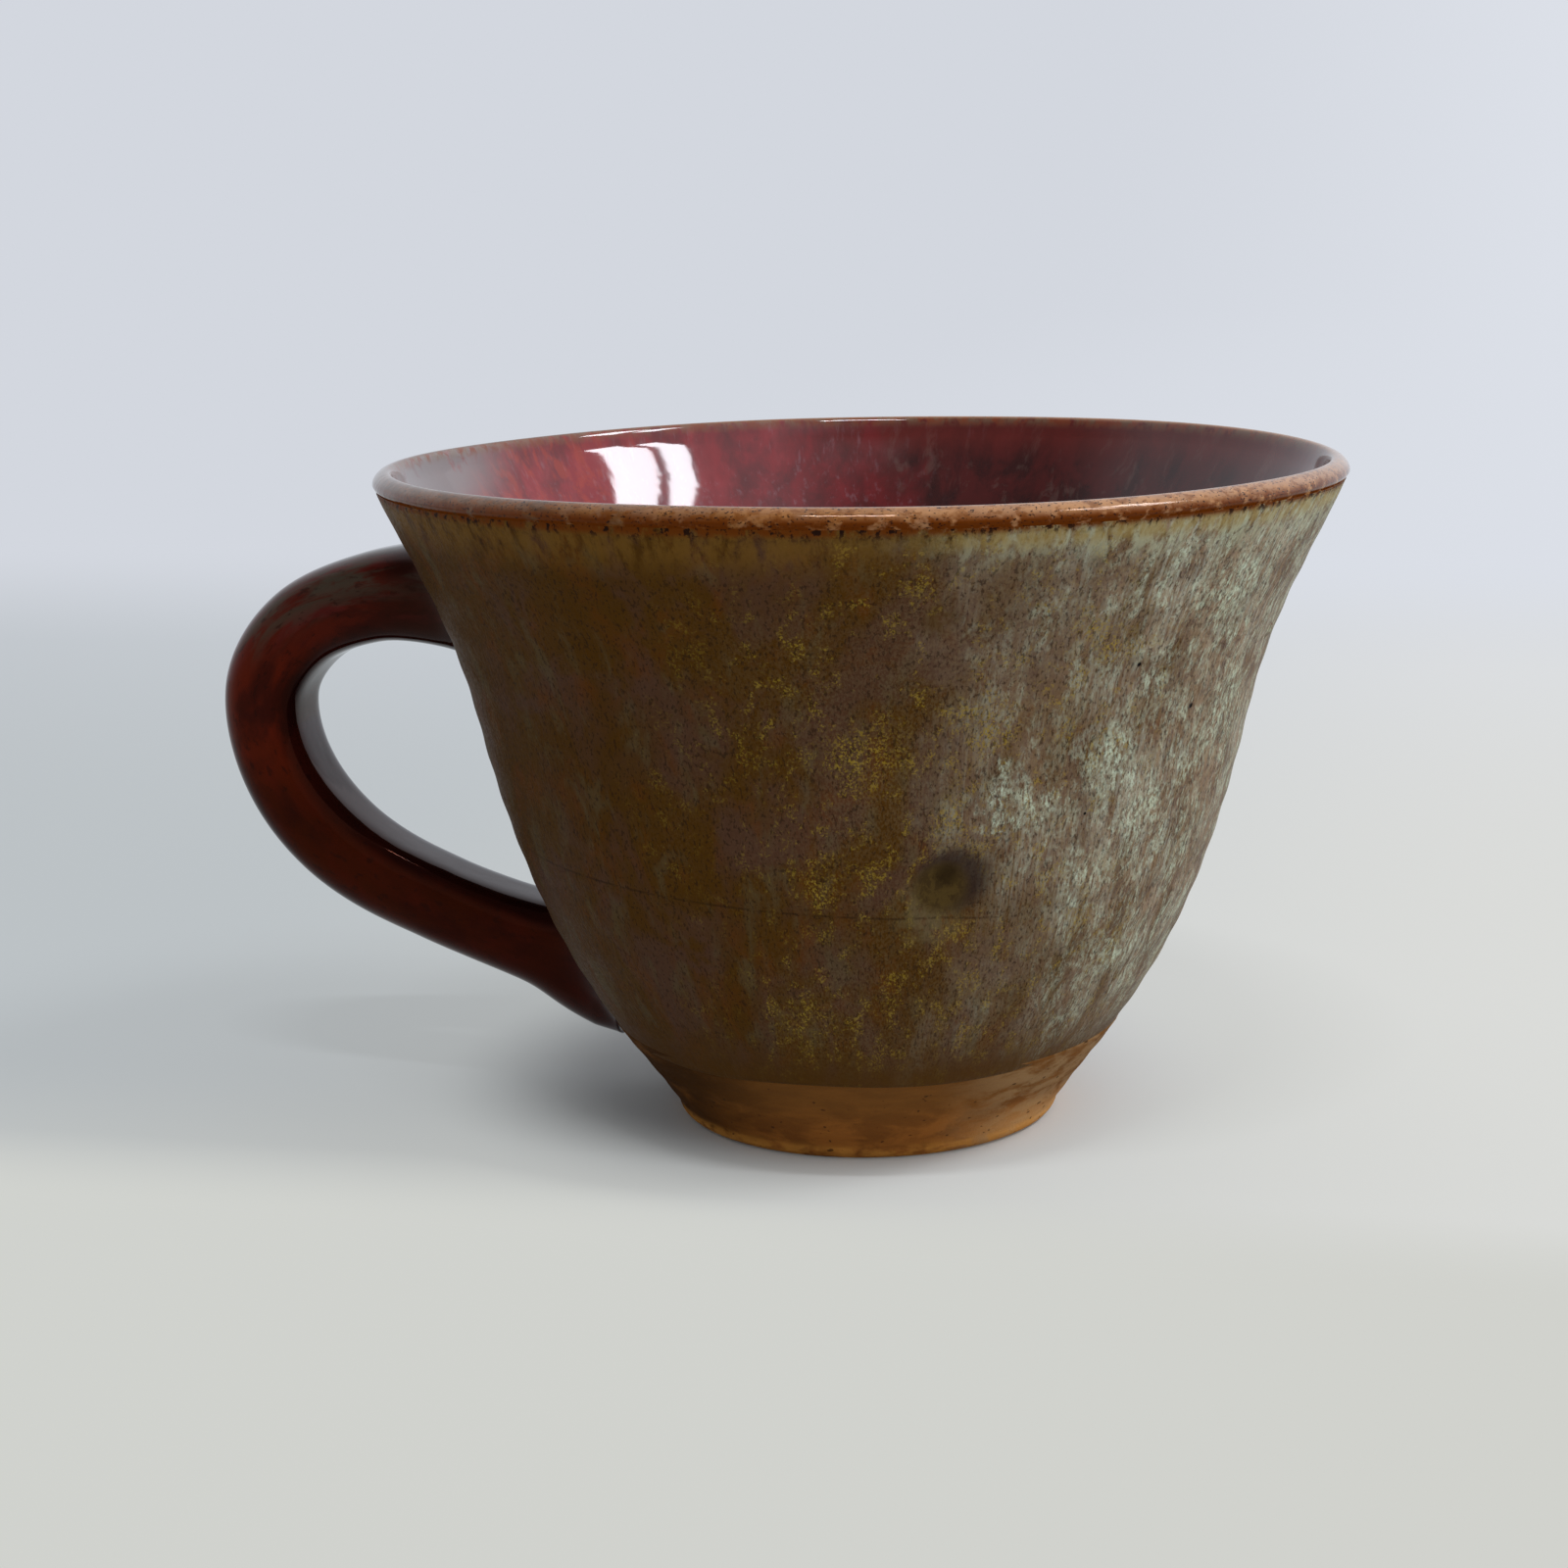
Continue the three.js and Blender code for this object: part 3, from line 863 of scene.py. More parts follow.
@dataclass(frozen=True)
class WallMarks:
    """Marks that the throwing and the firing left in the outer wall."""

    outer: Line
    thumb_dent: Mark = Mark(-65.6, 35.7, 3.9, 1.2)
    faint_dent: Mark = Mark(-68.6, 64.9, 2.2, 0.22)
    blooms: tuple[Mark, ...] = spots(
        (-41.2, 47.3, 5.0), (-43.4, 35.3, 3.4), (-18.3, 51.3, 6.0), (-33.0, 42.8, 4.4),
        (-55.6, 44.6, 3.6), (-27.0, 66.0, 7.0), (-36.0, 56.0, 4.0), (-33.0, 25.0, 5.0),
        (20.0, 40.0, 8.0), (52.0, 58.0, 9.0), (95.0, 30.0, 6.0),
    )
    dusks: tuple[Mark, ...] = spots(
        (-51.0, 65.5, 6.0), (-46.0, 70.0, 4.5), (-58.5, 67.0, 5.5), (-65.0, 70.0, 4.0),
        (-67.0, 61.0, 4.0), (-58.0, 59.0, 5.0), (-56.0, 27.0, 6.0), (-45.0, 41.5, 2.8),
        (-32.0, 56.0, 3.0), (70.0, 45.0, 9.0),
    )
    crystals: tuple[Mark, ...] = spots(
        (-48.0, 62.5, 3.0), (-61.7, 52.9, 4.5), (-66.0, 43.5, 3.5), (-76.9, 50.6, 4.5),
        (-42.5, 30.4, 2.4), (-84.0, 36.0, 2.8), (-88.0, 20.0, 3.2), (140.0, 45.0, 9.0),
    )
    grit_bumps: tuple[Mark, ...] = spots((-6.6, 58.3, 0.55, -0.38), (-93.3, 27.4, 0.5, -0.2))
    pinholes: tuple[Mark, ...] = spots(
        (-40.7, 58.4, 0.34, 0.3), (-27.8, 52.5, 0.34, 0.3), (-45.3, 42.6, 0.2, 0.2),
        (-62.0, 60.8, 0.2, 0.2), (-98.0, 61.0, 0.2, 0.2), (-150.0, 40.0, 0.3, 0.3),
        (60.0, 33.0, 0.35, 0.3), (110.0, 55.0, 0.25, 0.3),
    )
    score_height: float = 33.1
    score_tilt: float = 0.055
    score_depth: float = 0.07
    score_width: float = 0.35
    score_colour: str = "1c1108"
    pinhole_colour: str = "0c0808"
    bend: float = 16.0
    bend_scale: float = 0.22
    core: float = 0.2
    fringe: float = 1.3

    def depth(self, turn: np.ndarray, radius: np.ndarray, height: np.ndarray) -> np.ndarray:
        """How far the wall is pushed in, in millimetres.

        A dent is its depth times exp(-(d/r)^3), with d the distance along the wall, and has a
        low ridge round it. The score is a shallow groove exp(-(h/w)^2) at the front, with h the
        distance from a level that tilts down to the right.

        Args:
            turn: Azimuth in radians.
            radius: Radius of the wall.
            height: Height on the wall.

        Returns:
            The depth at each point.
        """
        total = np.zeros_like(height)
        for mark in (self.thumb_dent, self.faint_dent, *self.grit_bumps):
            swing = np.angle(np.exp(1j * (turn - math.radians(mark.azimuth))))
            square = ((swing * radius) ** 2 + (height - mark.height) ** 2) / mark.radius**2
            ridge = 0.1 * np.exp(-((np.sqrt(square) - 1.5) ** 2) * 5)
            total = total + mark.depth * (np.exp(-square**1.5) - ridge)
        level = self.score_height - self.score_tilt * radius * np.cos(turn)
        front = smooth(radius * np.sin(turn), -20.0, -28.0)
        return total + self.score_depth * front * np.exp(-(((height - level) / self.score_width) ** 2))

    def near(
        self, finish: FinishTree, mark: Mark, inner: float, outer: float, top: float = 1.0,
        place: Any = None,
    ) -> Any:
        """Mask round the centre of a mark.

        Args:
            finish: The tree that it goes into.
            mark: The mark.
            inner: Distance within which it is top, in radii of the mark.
            outer: Distance beyond which it is 0.
            top: Its highest value.
            place: The socket of the place that is measured, or None for the true place.

        Returns:
            The socket that holds the mask.
        """
        at = finish.place if place is None else place
        far = finish.add("VectorMath", {0: at, 1: mark.centre(self.outer)}, operation="DISTANCE")
        reach = mark.radius * MM
        return finish.ramp(far.outputs["Value"], reach * outer, reach * inner, top)

    def near_any(self, finish: FinishTree, marks: tuple[Mark, ...]) -> Any:
        """Mask that is 1 within any of the marks and fades out at their edges, which noise bends.

        Args:
            finish: The tree that it goes into.
            marks: The marks.

        Returns:
            The socket that holds the mask.
        """
        noise = finish.add("TexNoise", {
            "Vector": finish.flow, "Scale": self.bend_scale, "Detail": 5.0, "Roughness": 0.68,
        }).outputs["Color"]
        parts = {0: noise, 1: (self.bend * MM,) * 3, 2: (-self.bend * MM / 2,) * 3}
        bend = finish.add("VectorMath", parts, operation="MULTIPLY_ADD").outputs[0]
        place = finish.add("VectorMath", {0: finish.place, 1: bend}, operation="ADD").outputs[0]
        return finish.either(
            *(self.near(finish, mark, self.core, self.fringe, place=place) for mark in marks))

    def colour(self, finish: FinishTree) -> None:
        """Pools dark glaze in the thumb dent, with painted shade on its upper right and a pale smear
        below it that is partly painted light, darkens the score and opens the pinholes.

        Args:
            finish: The tree that it goes into.
        """
        ragged = finish.patches(Patches(1.6, 1.0, 0.3, 0.55, 4, 0.6, 0.4, 60.0))
        soot = Patches(0.9, 1.2, 0.46, 0.62, 4, 0.72, 0.3, 77.0, 0.6)
        dent = self.thumb_dent
        # below is a pale glaze smear under the dent that also stands in for painted light on its lower
        # lip; shade is painted shade on the dent's upper right.
        below = Mark(dent.azimuth - 2.2, dent.height - 2.6, dent.radius)
        shade = Mark(dent.azimuth + 1.0, dent.height + 0.6, dent.radius)
        pool = Mark(dent.azimuth - 0.6, dent.height - 0.3, dent.radius)
        eye = Mark(dent.azimuth + 0.2, dent.height + 0.9, 1.8)
        for colour, mark, inner, outer, cover, broken in (
            ("625a3c", below, 0.5, 1.4, 0.45, ragged),
            ("2e221f", shade, 0.7, 1.25, 0.8, None),
            ("4d3c1b", pool, 0.55, 0.95, 0.9, None),
            ("2c1e10", pool, 0.55, 0.95, 0.9, soot),
            ("261a0a", eye, 0.7, 1.3, 0.85, None),
            ("4a3517", self.faint_dent, 0.3, 1.2, 0.7, ragged),
        ):
            finish.blend(colour, self.near(finish, mark, inner, outer, cover), broken)
        tilt = {0: finish.place, 1: (self.score_tilt / MM, 0.0, 1.0 / MM)}
        level = finish.add("VectorMath", tilt, operation="DOT_PRODUCT").outputs["Value"]
        away = finish.add("Math", {0: level, 1: self.score_height}, operation="SUBTRACT").outputs[0]
        away = finish.add("Math", {0: away}, operation="ABSOLUTE").outputs[0]
        finish.blend(
            self.score_colour, finish.ramp(away, 0.20, 0.05),
            Patches(1.2, 0.6, 0.36, 0.52, 4, 0.6, 0.0, 63.0, 0.45),
            finish.ramp(finish.places[1], -0.020, -0.028), finish.ramp(finish.places[0], 0.026, 0.018))
        for mark in self.pinholes:
            finish.blend(self.pinhole_colour, self.near(finish, mark, 0.6, 1.1))
            finish.raise_by(-mark.depth, self.near(finish, mark, 0.3, 1.2))


# Sub-assemblies


def dress(piece: bpy.types.Object, material: bpy.types.Material, slot: Slot, *nodes: str) -> None:
    """Gives a new piece its material and its body, and hides the nodes that it stands for.

    Args:
        piece: The piece.
        material: Its finish.
        slot: The record's slot; not used.
        *nodes: The CAD nodes that it replaces.
    """
    piece.data.materials.append(material)
    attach(piece, "root")
    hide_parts(*nodes)
    log.info("%s: %d faces", piece.name, len(piece.data.polygons))


@dataclass
class ClayBowl:
    """The thrown bowl of clay, dented with its wall. Only its foot band and underside show."""

    form: CupForm
    columns: int = 288
    underside_rows: int = 56
    corner_rows: int = 12
    band_rows: int = 44
    wall_rows: int = 60
    lip_rows: int = 10
    inner_rows: int = 30
    bare_offset: float = -0.14
    bedded_offset: float = -0.7
    bare_height: float = 12.5
    contact_radius: float = 20.6
    ring_pitch: float = 2.3
    ring_depth: float = 0.1
    wave: float = 0.05

    def section(self) -> np.ndarray:
        """Draws the section from the axis below, round foot, wall and lip, to the axis inside.

        The underside has shallow turning rings, depth times (1 - cos(2 pi r / pitch)) / 2, that
        fade at the edge, and a quarter ellipse rounds the edge of the foot.

        Returns:
            The section's points.
        """
        outer, inner, lip = self.form.outer_line(), self.form.inner_line(), self.form.lip_line()
        contact, bedded = self.contact_radius, self.bedded_offset
        r = np.linspace(0.0, contact, self.underside_rows)
        rings = self.ring_depth * (1 - np.cos(2 * np.pi * r / self.ring_pitch)) / 2
        under = np.stack([r, rings * smooth(r, contact, contact - 2.0)], axis=-1)
        foot_r, foot_z = outer.at(np.array(0.5), self.bare_offset)
        bend = np.linspace(0.0, np.pi / 2, self.corner_rows)[1:]
        corner = [contact + (foot_r - contact) * np.sin(bend), foot_z * (1 - np.cos(bend))]
        band = np.interp(self.bare_height, outer.points[:, 1], outer.runs)
        run = np.concatenate([
            np.linspace(0.7, band, self.band_rows),
            np.linspace(band + 1, outer.length - 1, self.wall_rows),
        ])
        offset = self.bare_offset + (bedded - self.bare_offset) * smooth(run, band - 1, band)
        over_run = np.linspace(0.3, lip.length, self.lip_rows)
        down_run = np.linspace(2, inner.length, self.inner_rows)
        wall = np.stack(outer.at(run, offset), axis=-1)
        over = np.stack(lip.reversed().at(over_run, bedded), axis=-1)
        down = np.stack(inner.reversed().at(down_run, bedded), axis=-1)
        over[:, 1] = np.minimum(over[:, 1], self.form.height + bedded)
        down[-1, 0] = 0.0
        return np.concatenate([under, np.stack(corner, axis=-1), wall, over, down])

    def build(self) -> bpy.types.Object:
        """Revolves the section, with slight waves round the foot band, and dresses it.

        Returns:
            The piece.
        """
        section = self.section()
        turn = azimuths(self.columns)
        radius = section[:, :1] * np.ones_like(turn)
        height = section[:, 1:] * np.ones_like(turn)
        band = smooth(height, 0.4, 3.0) * smooth(height, self.bare_height, self.bare_height - 3)
        wave = self.wave * np.sin(height * 2.1 + 0.6 * np.sin(turn))
        wave = wave + self.wave * np.sin(3 * turn + 1.0)
        radius = radius + np.where(radius > self.contact_radius, band * wave, 0.0)
        outer = self.form.outer_line()
        bedded = (height > self.bare_height) & (radius > outer.radius_at(height) - 1.2)
        radius = radius - np.where(bedded, WallMarks(outer).depth(turn, radius, height), 0.0)
        run = Line(section).runs[:, None] * np.ones_like(turn)
        flow = revolve(np.minimum(radius, self.form.foot_radius), run, turn)
        piece = grid_mesh("clay_bowl", revolve(radius, height, turn), Ends.POLES, flow)
        dress(piece, FiredStoneware().build(), Slot.STONEWARE, "thrown_bowl")
        return piece


@dataclass
class WallCoat:
    """The rutile coat on the outer wall, from under the lip's corner to the glaze line."""

    form: CupForm
    columns: int = 480
    face_rows: int = 148
    back_rows: int = 56
    first_run: float = 0.25
    line_height: float = 9.8
    line_wander: float = 1.0
    ring_pitch: float = 5.3
    ring_depth: float = 0.05
    flow_radius: float = 44.0
    mean_inset: float = 0.14
    top_sink: float = 0.32
    edge_sink: float = 0.36
    edge_bead: float = 0.03
    edge_round: float = 1.1

    def surface(self, marks: WallMarks) -> tuple[np.ndarray, np.ndarray, float]:
        """Grid of the coat: its face from the lip down, then its back up again.

        The lower edge wanders by a sum of sines of the turn. The face follows the outer line,
        sinks 0.3 mm at the top to pass under the liner's edge, and rounds down into the clay
        at the bottom as a quarter circle. Throwing rings are sines of the run.

        Args:
            marks: The dents and bumps of the wall.

        Returns:
            The grid, its flow, and the run from the lip's corner to the glaze line.
        """
        line = self.form.outer_line().reversed()
        turn = azimuths(self.columns)
        low = self.line_height + self.line_wander * (
            0.75 + 0.45 * np.sin(turn + 0.9) + 0.25 * np.sin(3 * turn + 0.3) + 0.12 * np.sin(7 * turn))
        last = np.interp(-low, -line.points[:, 1], line.runs)
        share = np.linspace(0.0, 1.0, self.face_rows)[:, None]
        run = self.first_run + share * (last - self.first_run)
        radius, height = line.at(run)
        rings = self.ring_depth * np.sin(2 * np.pi * run / self.ring_pitch + 0.5 * np.sin(turn))
        sway = 0.10 * np.sin(2 * turn + run / 15) + 0.06 * np.sin(3 * turn - run / 9 + 1.0)
        sway = sway - self.mean_inset
        end = np.clip((last - run) / self.edge_round, 0.0, 1.0)
        edge = -self.edge_sink * (1 - np.sqrt(np.clip(1 - (1 - end) ** 2, 0, 1)))
        edge = edge + self.edge_bead * np.exp(-((last - run - 1.6) ** 2))
        top = -self.top_sink * (1 - smooth(run, self.first_run, 1.1))
        offset = rings * smooth(run, 4.0, 12.0) + sway * smooth(run, 1.5, 6.0) + edge + top
        face = line.at(run, marks.depth(turn, radius, height) - offset)
        back_run = last - 0.02 - np.linspace(0.0, 1.0, self.back_rows)[:, None] * (last - 0.3)
        back = line.at(back_run, self.form.coat + marks.depth(turn, *line.at(back_run)))
        radius, height, runs = (
            np.concatenate(pair) for pair in zip((*face, run), (*back, back_run)))
        around = turn * np.ones_like(radius)
        flow = revolve(np.full_like(radius, self.flow_radius), runs, around)
        return revolve(radius, height, around), flow, float(last.mean())

    def build(self) -> bpy.types.Object:
        """Builds and glazes the coat.

        Returns:
            The piece.
        """
        marks = WallMarks(self.form.outer_line())
        grid, flow, run = self.surface(marks)
        piece = grid_mesh("rutile_wall_coat", grid, Ends.JOINED, flow)
        dress(piece, RutileSatin().build(run, marks), Slot.WALL, "wall_glaze")
        return piece


@dataclass
class LinerCoat:
    """The oxblood coat: floor, inner wall and the whole lip, ending just over its outer corner."""

    form: CupForm
    columns: int = 400
    floor_rows: int = 60
    wall_rows: int = 90
    lip_rows: int = 26
    tail_rows: int = 8
    back_rows: int = 26
    floor_share: float = 0.42
    tail: float = 0.9
    tail_sink: float = 0.18
    groove_pitch: float = 7.1
    groove_depth: float = 0.05
    lobe_depth: float = 0.16
    lobe_reach: float = 14.0
    flow_radius: float = 50.0

    def surface(self) -> tuple[np.ndarray, np.ndarray]:
        """Grid from the axis up the inner face, over the lip, and back behind the coat.

        Finger grooves are sines of the run whose phase leans with the turn, so that they climb
        like a thrower's spiral, and they fade out below the lip. The lip dips by a few tenths
        of a millimetre with slow sines of the turn.

        Returns:
            The grid and its flow, whose third value is the run down inside from the ridge.
        """
        inner, lip, outer = self.form.inner_line(), self.form.lip_line(), self.form.outer_line()
        tail = np.stack(outer.reversed().at(np.linspace(0.0, self.tail, 24)[1:]), axis=-1)
        whole = Line(np.concatenate([inner.points, lip.points[1:], tail]))
        ridge = whole.runs[int(np.argmax(whole.points[:, 1]))]
        starts = [0.0, inner.length * self.floor_share, inner.length, inner.length + lip.length]
        counts = self.floor_rows, self.wall_rows, self.lip_rows
        rows = [
            np.linspace(start, end, count, endpoint=False)
            for start, end, count in zip(starts, starts[1:], counts)
        ]
        rows.append(np.linspace(starts[3], whole.length, self.tail_rows))
        run = np.concatenate(rows)[:, None]
        turn = azimuths(self.columns)
        depth = ridge - run
        grooves = self.groove_depth * np.sin(2 * np.pi * run / self.groove_pitch + turn)
        grooves = grooves * smooth(depth, 12.0, 30.0) * smooth(run, 1.0, 12.0)
        sway = (0.08 * np.sin(2 * turn + 0.7) + 0.05 * np.sin(5 * turn)) * smooth(depth, 8.0, 30.0)
        sink = self.tail_sink * smooth(run, starts[3], whole.length)
        face_r, face_z = whole.at(run, grooves + sway * smooth(run, 5.0, 20.0) + sink)
        back_run = whole.length - np.linspace(0.0, 1.0, self.back_rows)[:, None] * whole.length
        back_offset = self.form.coat * smooth(whole.length - back_run, -0.4, 1.0)
        back_r, back_z = whole.at(back_run, back_offset)
        radius = np.concatenate([face_r, back_r * np.ones_like(turn)])
        height = np.concatenate([face_z, back_z * np.ones_like(turn)])
        radius[0], radius[-1] = 0.0, 0.0
        lobes = self.lobe_depth * (1 + np.sin(2 * turn + 2.2)) + 0.06 * (1 + np.sin(5 * turn + 0.4))
        top = self.form.height
        height = height - lobes * smooth(height, top - self.lobe_reach, top)
        runs = ridge - np.concatenate([run, back_run]) * np.ones_like(turn)
        around = turn * np.ones_like(radius)
        flow = revolve(np.minimum(radius, self.flow_radius), runs, around)
        return revolve(radius, height, around), flow

    def build(self) -> bpy.types.Object:
        """Builds and glazes the coat.

        Returns:
            The piece.
        """
        grid, flow = self.surface()
        piece = grid_mesh("oxblood_liner_coat", grid, Ends.POLES, flow)
        dress(piece, OxbloodGloss().build(), Slot.LINER, "liner_glaze")
        return piece


@dataclass
class PulledHandle:
    """The pulled strap with its slip joints, which stay as packed, and the gloss coat over them."""

    form: CupForm
    reach: float = 73.95
    upper_height: float = 60.5
    lower_height: float = 14.2
    anchor_depth: float = 14.0
    anchor_fall: float = 0.15
    thickness: float = 9.9
    upper_thickness: float = 12.8
    lower_thickness: float = 12.4
    upper_width: float = 12.0
    lower_width: float = 9.4
    spread: float = 1.6
    upper_fade: float = 10.0
    lower_fade: float = 6.0
    fillet: float = 1.5
    fillet_fade: float = 1.4
    squareness: float = 3.5
    thumb_flat: float = 0.7
    sunk: float = 3.0
    bedding: float = 2.0
    rings: int = 300
    sides: int = 96
    stations: tuple[Point, ...] = (
        (0.8, 0.985), (0.923, 0.907), (0.996, 0.743), (0.98, 0.534),
        (0.882, 0.322), (0.711, 0.177), (0.538, 0.082),
    )

    def ear_line(self) -> Line:
        """Draws the centre line of the strap.

        A uniform Catmull-Rom curve passes through the stations. Each span from b to c, with
        neighbours a and d, is ((2b) + (c-a)t + (2a-5b+4c-d)t^2 + (3b-a-3c+d)t^3) / 2, and the
        ends are carried on by reflection.

        Returns:
            The line, whose points are a radius and a height.
        """
        outer = self.form.outer_line()
        upper = float(outer.radius_at(self.upper_height))
        lower = float(outer.radius_at(self.lower_height))
        rise = self.upper_height - self.lower_height
        knots = np.array([
            (upper - self.anchor_depth, self.upper_height), (upper, self.upper_height),
            *((out * self.reach, self.lower_height + up * rise) for out, up in self.stations),
            (lower, self.lower_height),
            (lower - self.anchor_depth, self.lower_height - self.anchor_depth * self.anchor_fall),
        ])
        knots = np.concatenate([[2 * knots[0] - knots[1]], knots, [2 * knots[-1] - knots[-2]]])
        t = np.linspace(0.0, 1.0, 60, endpoint=False)[None, :, None]
        a, b, c, d = (knots[k:len(knots) - 3 + k, None, :] for k in range(4))
        span = 2 * b + (c - a) * t + (2 * a - 5 * b + 4 * c - d) * t**2
        span = (span + (3 * b - a - 3 * c + d) * t**3) / 2
        return Line(np.concatenate([span.reshape(-1, 2), knots[-2:-1]]))

    def surface(self, growth: float) -> tuple[np.ndarray, np.ndarray]:
        """Grid of the strap's face, carried along the ear line and grown by an offset.

        The section is a superellipse, half width times cos^(2/n) by half thickness times
        sin^(2/n), with n larger towards the inside of the ear, where the potter's thumb
        flattens it. Close to the wall it spreads by fillet times exp(-distance / fade). A depth
        d in the wall becomes b tanh(d / b), so that the sleeve ends b within the clay.

        Args:
            growth: Distance outside the finished surface.

        Returns:
            The grid and its flow.
        """
        line, outer = self.ear_line(), self.form.outer_line()
        start = self.anchor_depth - self.sunk
        run = np.linspace(start, line.length - start, self.rings)[:, None]
        free = np.clip(run - self.anchor_depth, 0.0, line.length - 2 * self.anchor_depth)
        at_upper = np.exp(-free / self.upper_fade)
        at_lower = np.exp(-(free.max() - free) / self.lower_fade)
        thick = self.thickness + (self.upper_thickness - self.thickness) * at_upper
        thick = thick + (self.lower_thickness - self.thickness) * at_lower
        wide = self.upper_width + (self.lower_width - self.upper_width) * free / free.max()
        wide = wide + self.spread * (at_upper + at_lower)
        angle = azimuths(self.sides)
        power = 2 / (self.squareness - self.thumb_flat * np.sin(angle))
        across, upward = (np.sign(way) * np.abs(way) ** power for way in (np.cos(angle), np.sin(angle)))
        swell = growth + 0.07 * np.sin(free / 5.1 + 2 * angle) + 0.05 * np.sin(free / 2.7 - angle)
        side, lift = (wide / 2 + swell) * across, (thick / 2 + swell) * upward
        out_r, out_z = line.at(run, -lift)
        clear = np.hypot(out_r, side) - outer.radius_at(out_z)
        grow = self.fillet * np.exp(-np.clip(clear, 0.0, None) / self.fillet_fade)
        size = np.hypot(side, lift)
        side, lift = side * (1 + grow / size), lift * (1 + grow / size)
        out_r, out_z = line.at(run, -lift)
        inside = np.clip(outer.radius_at(out_z) - np.hypot(out_r, side), 0.0, None)
        out_r = out_r + inside - self.bedding * np.tanh(inside / self.bedding)
        flow = np.stack([side, lift, run * np.ones_like(side)], axis=-1)
        return np.stack([-out_r, side, out_z], axis=-1), flow

    def build(self) -> bpy.types.Object:
        """Builds the coat as a sleeve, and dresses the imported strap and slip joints.

        Returns:
            The coat.
        """
        face, flow = self.surface(0.0)
        back, back_flow = self.surface(-self.form.coat)
        grid = np.concatenate([face, back[::-1]])
        flows = np.concatenate([flow, back_flow[::-1]])
        piece = grid_mesh("dark_red_handle_coat", grid, Ends.JOINED, flows)
        dress(piece, HandleGloss().build(), Slot.HANDLE, "handle_glaze")
        clay, slip = FiredStoneware(name="fired_stoneware_strap").build(), FiredSlip().build()
        finishes = {"pulled_handle": clay, "upper_slip_joint": slip, "lower_slip_joint": slip}
        for node, material in finishes.items():
            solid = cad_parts[node]
            solid.data.materials.clear()
            solid.data.materials.append(material)
            log.info("%s: packed solid, dressed", node)
        return piece


# Studio


@dataclass(frozen=True)
class Camera:
    """The photograph's camera, fitted to the rim, wall, foot and handle. Degrees and mm."""

    distance: float = 330.0
    height: float = 107.64
    orbit: float = 12.5
    yaw: float = -1.606
    pitch: float = 11.813
    roll: float = -1.164
    lens: float = 66.36
    sensor: float = 36.0

    def build(self) -> bpy.types.Object:
        """Makes the camera and sets it as the scene's own.

        Returns:
            The camera.
        """
        orbit, roll = math.radians(self.orbit), math.radians(self.roll)
        heading, pitch = math.radians(self.yaw) - orbit, math.radians(self.pitch)
        level = Vector((math.cos(heading), -math.sin(heading), 0.0))
        ahead = Vector((math.sin(heading), math.cos(heading), 0.0)) * math.cos(pitch)
        ahead.z = -math.sin(pitch)
        upright = level.cross(ahead)
        right = level * math.cos(roll) + upright * math.sin(roll)
        up = upright * math.cos(roll) - level * math.sin(roll)
        out = Vector((math.sin(orbit), -math.cos(orbit), 0.0)) * self.distance
        place = Matrix.Translation((out + Vector((0.0, 0.0, self.height))) * MM)
        data = bpy.data.cameras.new("photo_camera")
        data.lens, data.sensor_width, data.sensor_fit = self.lens, self.sensor, "HORIZONTAL"
        data.clip_start, data.clip_end = 0.01, 20.0
        camera = bpy.data.objects.new("photo_camera", data)
        camera.matrix_world = place @ Matrix((right, up, -ahead)).transposed().to_4x4()
        bpy.context.scene.collection.objects.link(camera)
        bpy.context.scene.camera = camera
        return camera


@dataclass(frozen=True)
class Pane:
    """A soft rectangular light, aimed at the cup. Degrees, metres and watts.

    Diffuse is the share of it that matt surfaces get.
    """

    name: str
    azimuth: float
    elevation: float
    distance: float
    width: float
    height: float
    power: float
    colour: str = "f4f7ff"
    diffuse: float = 0.5

    def build(self, target: Vector) -> bpy.types.Object:
        """Makes the light.

        Args:
            target: The point that it faces, in metres.

        Returns:
            The light's object.
        """
        turn, rise = math.radians(self.azimuth), math.radians(self.elevation)
        away = Vector((math.cos(turn), math.sin(turn), 0.0)) * math.cos(rise)
        away.z = math.sin(rise)
        data = bpy.data.lights.new(self.name, "AREA")
        data.shape, data.size, data.size_y = "RECTANGLE", self.width, self.height
        data.energy, data.color, data.diffuse_factor = self.power, linear(self.colour)[:3], self.diffuse
        lamp = bpy.data.objects.new(self.name, data)
        lamp.location = target + away * self.distance
        lamp.rotation_mode = "QUATERNION"
        lamp.rotation_quaternion = (-away).to_track_quat("-Z", "Y")
        bpy.context.scene.collection.objects.link(lamp)
        return lamp


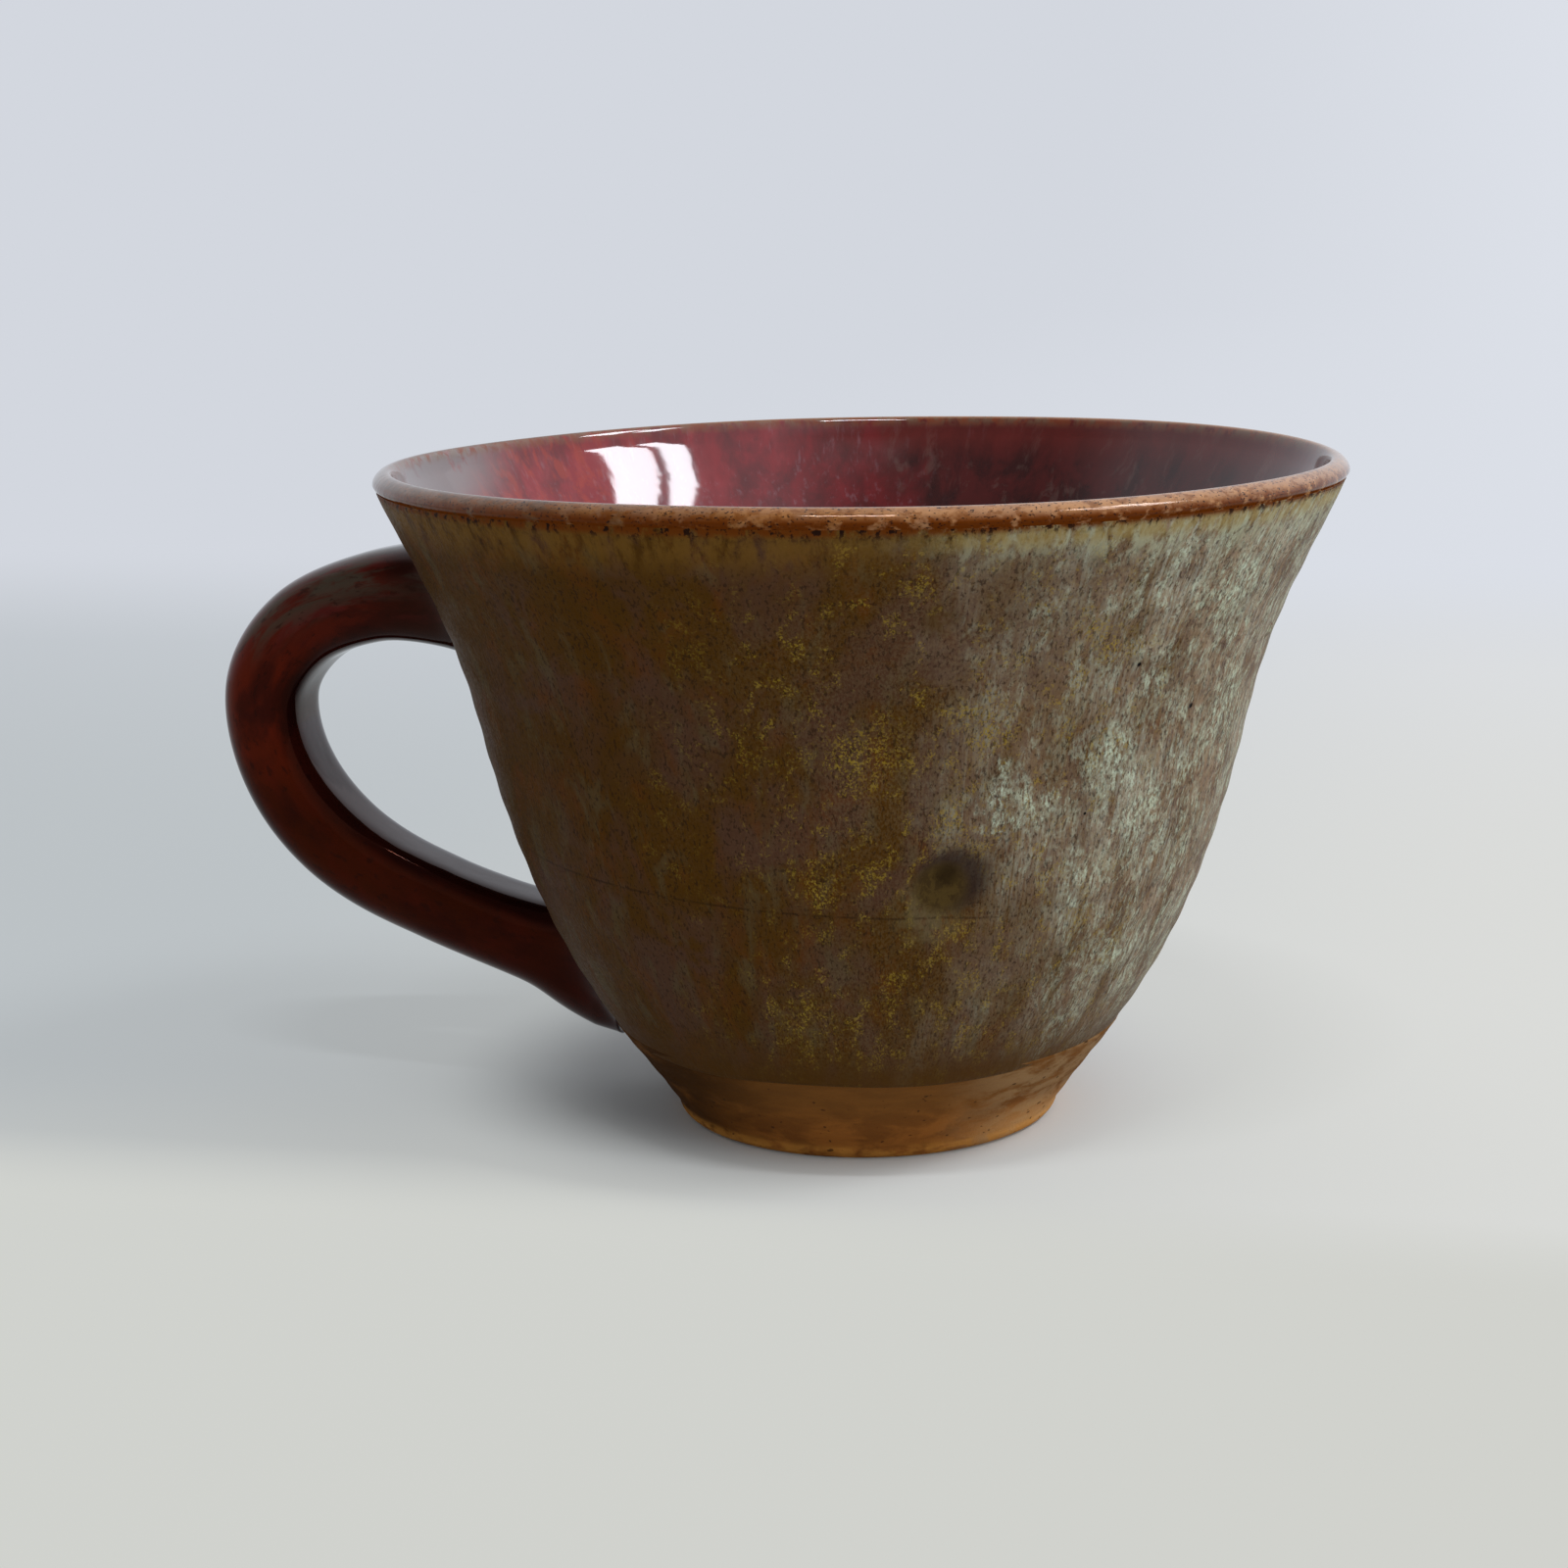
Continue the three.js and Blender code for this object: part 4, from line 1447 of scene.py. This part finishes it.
@dataclass
class Studio:
    """Plain paper sweep, a window in two panes, a ceiling lamp, and the soft light of the room.

    The room is bright on the right, dim on the left, and dimmest high behind the camera.
    """

    aim: Place = (0.0, 0.0, 0.04)
    half_width: float = 3.0
    front: float = -2.5
    back: float = 2.0
    bend: float = 0.7
    top: float = 1.1
    sky: str = "eceef6"
    bright_way: Place = (0.90, -0.38, 0.20)
    dim_way: Place = (-0.30, -0.60, 0.74)
    sky_low: float = 0.82
    sky_high: float = 1.25
    dim_share: float = 0.2
    panes: tuple[Pane, ...] = (
        Pane("window_near_pane", 9.2, 47.5, 1.3, 0.235, 0.32, 5.0),
        Pane("window_far_pane", -7.2, 49.3, 1.3, 0.130, 0.30, 2.8),
        Pane("ceiling_lamp", -80.0, 66.2, 1.3, 0.34, 0.03, 4.5, diffuse=0.05),
    )

    def sweep(self) -> bpy.types.Object:
        """Floor that bends up to a backdrop: a flat, a quarter circle, and an upright.

        The section is carried straight along X. It is stage, not part of the object.

        Returns:
            The paper.
        """
        bend = np.linspace(0.0, np.pi / 2, 24)
        wall = self.back + self.bend
        y = np.concatenate([[self.front], self.back + self.bend * np.sin(bend), [wall]])
        z = np.concatenate([[0.0], self.bend * (1 - np.cos(bend)), [self.top]])
        x = np.array([self.half_width, -self.half_width])[None, :]
        grid = np.stack(np.broadcast_arrays(x, y[:, None], z[:, None]), axis=-1) / MM
        paper = grid_mesh("paper_sweep", grid, Ends.OPEN)
        paper.data.materials.append(StudioPaper().build())
        return paper

    def build(self) -> None:
        """Makes the paper, the window and the light of the room."""
        self.sweep()
        for pane in self.panes:
            pane.build(Vector(self.aim))
        self.room()
        bpy.context.scene.view_settings.view_transform = "Standard"

    def room(self) -> None:
        """Makes the world: its strength rises smoothly towards bright_way and sinks about dim_way."""
        world = bpy.data.worlds.new("room_light")
        world.use_nodes = True
        tree = world.node_tree
        tree.nodes.clear()
        way = add_node(tree, "TexCoord", {}).outputs["Generated"]

        def slope(towards: Place, start: float, end: float, low: float, high: float) -> Any:
            """Strength that follows how far a way leans towards a direction.

            Args:
                towards: The direction.
                start: Cosine of the angle between them where the strength is low.
                end: Cosine where it is high.
                low: Strength at start.
                high: Strength at end.

            Returns:
                The socket that holds it.
            """
            parts = {0: way, 1: Vector(towards).normalized()}
            lean = add_node(tree, "VectorMath", parts, operation="DOT_PRODUCT").outputs["Value"]
            levels = {"Value": lean, "From Min": start, "From Max": end, "To Min": low, "To Max": high}
            return add_node(tree, "MapRange", levels, interpolation_type="SMOOTHSTEP").outputs[0]

        side = slope(self.bright_way, -0.6, 0.5, self.sky_low, self.sky_high)
        dim = slope(self.dim_way, 0.7, 0.95, 1.0, self.dim_share)
        strength = add_node(tree, "Math", {0: side, 1: dim}, operation="MULTIPLY").outputs[0]
        light = {"Color": linear(self.sky), "Strength": strength}
        glow = add_node(tree, "Background", light).outputs[0]
        add_node(tree, "OutputWorld", {"Surface": glow})
        bpy.context.scene.world = world


def main() -> None:
    logging.basicConfig(level=logging.INFO, format="%(name)s %(message)s")
    Camera().build()
    Studio().build()
    form = CupForm.from_frame()
    for assembly in (ClayBowl(form), WallCoat(form), LinerCoat(form), PulledHandle(form)):
        assembly.build()


if __name__ == "__main__":
    main()
